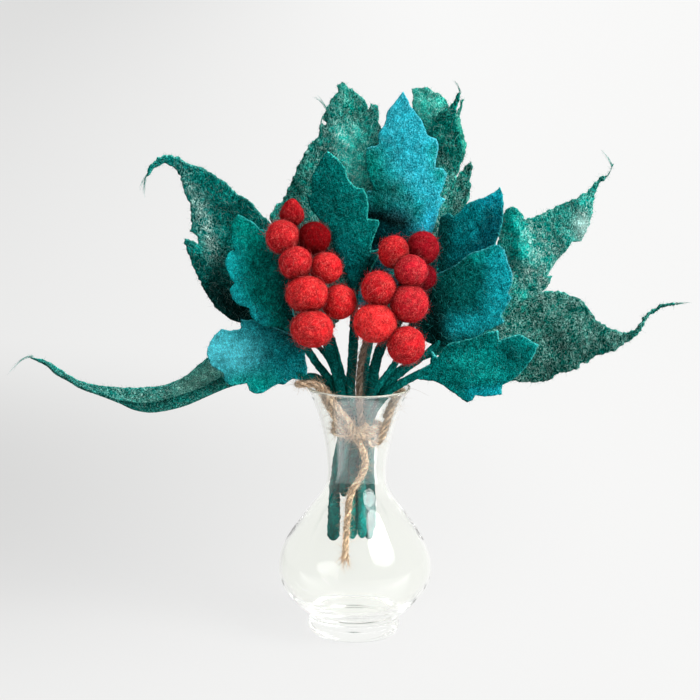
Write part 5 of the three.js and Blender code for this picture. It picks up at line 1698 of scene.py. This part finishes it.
@dataclass(frozen=True)
class Studio:
    """The lit floor, the soft light, the sky and the camera.

    The glass mirrors a studio that the camera can't see: a darker sky with two bright spots, and a
    brighter floor in front of the vase. Each part of the mirrored sky has a direction, the angles
    from it at which it begins and is whole, and its level. Places on the floor are metres.
    """

    sky: float = 0.42
    sky_in_glass: float = 0.93
    mirrored_sky: tuple[tuple[tuple[float, float, float], float, float, float], ...] = (
        ((-0.25, -0.45, 0.86), 0.84, 0.68, 0.08),
        ((0.37, -0.29, 0.88), 0.2, 0.05, 4),
        ((0.21, -0.07, 0.975), 0.14, 0.04, 4),
    )
    daylight: float = 3.5
    daylight_turn: float = math.radians(54)
    daylight_rise: float = math.radians(40)
    softness: float = math.radians(38)
    lens: float = 141.43
    floor_reach: float = 40
    opal: str = "#484847"
    glow: float = 0.848
    painted_shadow_centre: tuple[float, float, float] = (-0.48, 0.4, 0)
    painted_shadow_depth: float = 0.17
    painted_shade_at_left: float = 0.21
    glow_through_glass: float = 1.05
    glow_in_glass: float = 4.6
    light_paths: int = 64

    def build(self) -> None:
        """Set up the camera, the light, the sky and the floor."""
        scene = bpy.context.scene
        scene.view_settings.view_transform = "Standard"
        cycles = scene.cycles
        cycles.max_bounces = cycles.transmission_bounces = cycles.glossy_bounces = self.light_paths
        self.build_camera()
        self.build_daylight()
        self.build_sky()
        self.build_floor()

    def build_camera(self) -> None:
        """Stand the camera at the eye in front of the sheet."""
        right, up, sight = SHEET.axes()
        camera = bpy.data.cameras.new("eye")
        camera.lens, camera.sensor_width = self.lens, 36
        stand = bpy.data.objects.new("eye", camera)
        bpy.context.scene.collection.objects.link(stand)
        place = (np.array(SHEET.centre) - SHEET.eye_distance * sight) * MM
        turned = Matrix(np.column_stack([right, up, -sight]).tolist()).to_4x4()
        stand.matrix_world = Matrix.Translation(place) @ turned
        bpy.context.scene.camera = stand

    def build_daylight(self) -> None:
        """Hang the soft daylight."""
        sun = bpy.data.lights.new("daylight", "SUN")
        sun.energy, sun.angle = self.daylight, self.softness
        hung = bpy.data.objects.new("daylight", sun)
        bpy.context.scene.collection.objects.link(hung)
        hung.rotation_euler = (math.pi / 2 - self.daylight_rise, 0, self.daylight_turn)

    def build_sky(self) -> None:
        """Make the even sky, and the other one that the glass mirrors."""
        world = bpy.data.worlds.new("Pale studio")
        world.use_nodes = True
        graph = Graph(world.node_tree)
        ray = graph.add("LightPath").outputs
        heading = graph.add("TexCoord").outputs["Generated"]
        mirrored = self.sky_in_glass
        for way, begins, whole, level in self.mirrored_sky:
            near = graph.add("VectorMath", {0: heading, 1: tuple(Vector(way).normalized())},
                             operation="DOT_PRODUCT").outputs["Value"]
            mirrored = graph.remap(near, math.cos(begins), math.cos(whole), mirrored, level)
        strength = graph.remap(ray["Is Glossy Ray"], at_low=self.sky, at_high=mirrored)
        strength = graph.remap(ray["Is Transmission Ray"], at_low=strength, at_high=self.sky_in_glass)
        background = world.node_tree.nodes["Background"].inputs
        background["Color"].default_value = (1, 1, 1, 1)
        world.node_tree.links.new(strength, background["Strength"])
        bpy.context.scene.world = world

    def build_floor(self) -> None:
        """Lay the floor, the lit top of a light table."""
        bpy.ops.object.select_all(action="DESELECT")
        bpy.ops.mesh.primitive_grid_add(x_subdivisions=4, y_subdivisions=4, size=self.floor_reach)
        floor = bpy.context.object
        floor.name = "studio_floor"
        floor.data.materials.append(self.acrylic())
        floor.visible_diffuse = False

    def acrylic(self) -> bpy.types.Material:
        """Make the opal acrylic of the light table: matt, and lit from below.

        Its own light keeps the shadows faint. It is a little weaker to the left, behind the vase: a painted
        shadow of the bunch, and painted shade towards the left.
        """
        finish, graph = new_finish("Opal acrylic, lit from below")
        place = graph.place()
        x, y, _ = graph.add("SeparateXYZ", {0: place}).outputs
        # A painted shadow behind the vase to the left, and painted shade that grows to the left.
        away = graph.add("VectorMath", {0: place, 1: self.painted_shadow_centre}, operation="DISTANCE")
        spot_shadow = graph.remap(away.outputs["Value"], 0.05, 0.72, self.painted_shadow_depth, 0,
                              interpolation_type="SMOOTHSTEP")
        left_shade = graph.remap(x, -1.1, 0.3, self.painted_shade_at_left, 0, interpolation_type="SMOOTHSTEP")
        glow = graph.math("SUBTRACT", self.glow, graph.math("ADD", spot_shadow, left_shade))
        # In the glass it is brighter in front of the vase: more to both sides, and most close to it.
        across = graph.math("ABSOLUTE", x)
        front = graph.remap(across, 0.05, 0.2, self.glow_in_glass, 1.3 * self.glow_in_glass)
        front = graph.math("MULTIPLY", front, graph.remap(y, -0.22, -0.13, 1, 2))
        mirrored = graph.remap(y, -0.03, -0.09, self.glow_through_glass, front)
        ray = graph.add("LightPath").outputs
        factor = graph.remap(ray["Is Transmission Ray"], at_low=mirrored, at_high=self.glow_through_glass)
        factor = graph.remap(ray["Is Camera Ray"], at_low=factor, at_high=1)
        graph.show(graph.add("BsdfPrincipled", {
            "Base Color": full(self.opal), "Roughness": 0.9, "Specular IOR Level": 0.05,
            "Emission Color": (1, 1, 0.995, 1), "Emission Strength": graph.math("MULTIPLY", glow, factor)}))
        return finish


TWINE_SEED, BINDING_SEED, BERRY_SEED = 51, 41, 71  # where the random draws start


def main() -> None:
    """Build the studio and the whole bunch."""
    logging.basicConfig(level=logging.INFO, format="%(name)s: %(message)s")
    Studio().build()
    finishes = Finishes.make()
    for number, twine in enumerate(FREE_TWINES):
        twine.build(finishes, TWINE_SEED + number)
    Binding().build(finishes, BINDING_SEED)
    for leaf in LEAVES:
        leaf.build(finishes)
    ball = felt_ball()
    for number, bunch in enumerate(BUNCHES):
        bunch.build(ball, finishes, BERRY_SEED + number)
    bpy.data.objects.remove(ball)
    Vase().build(finishes)


if __name__ == "__main__":
    main()
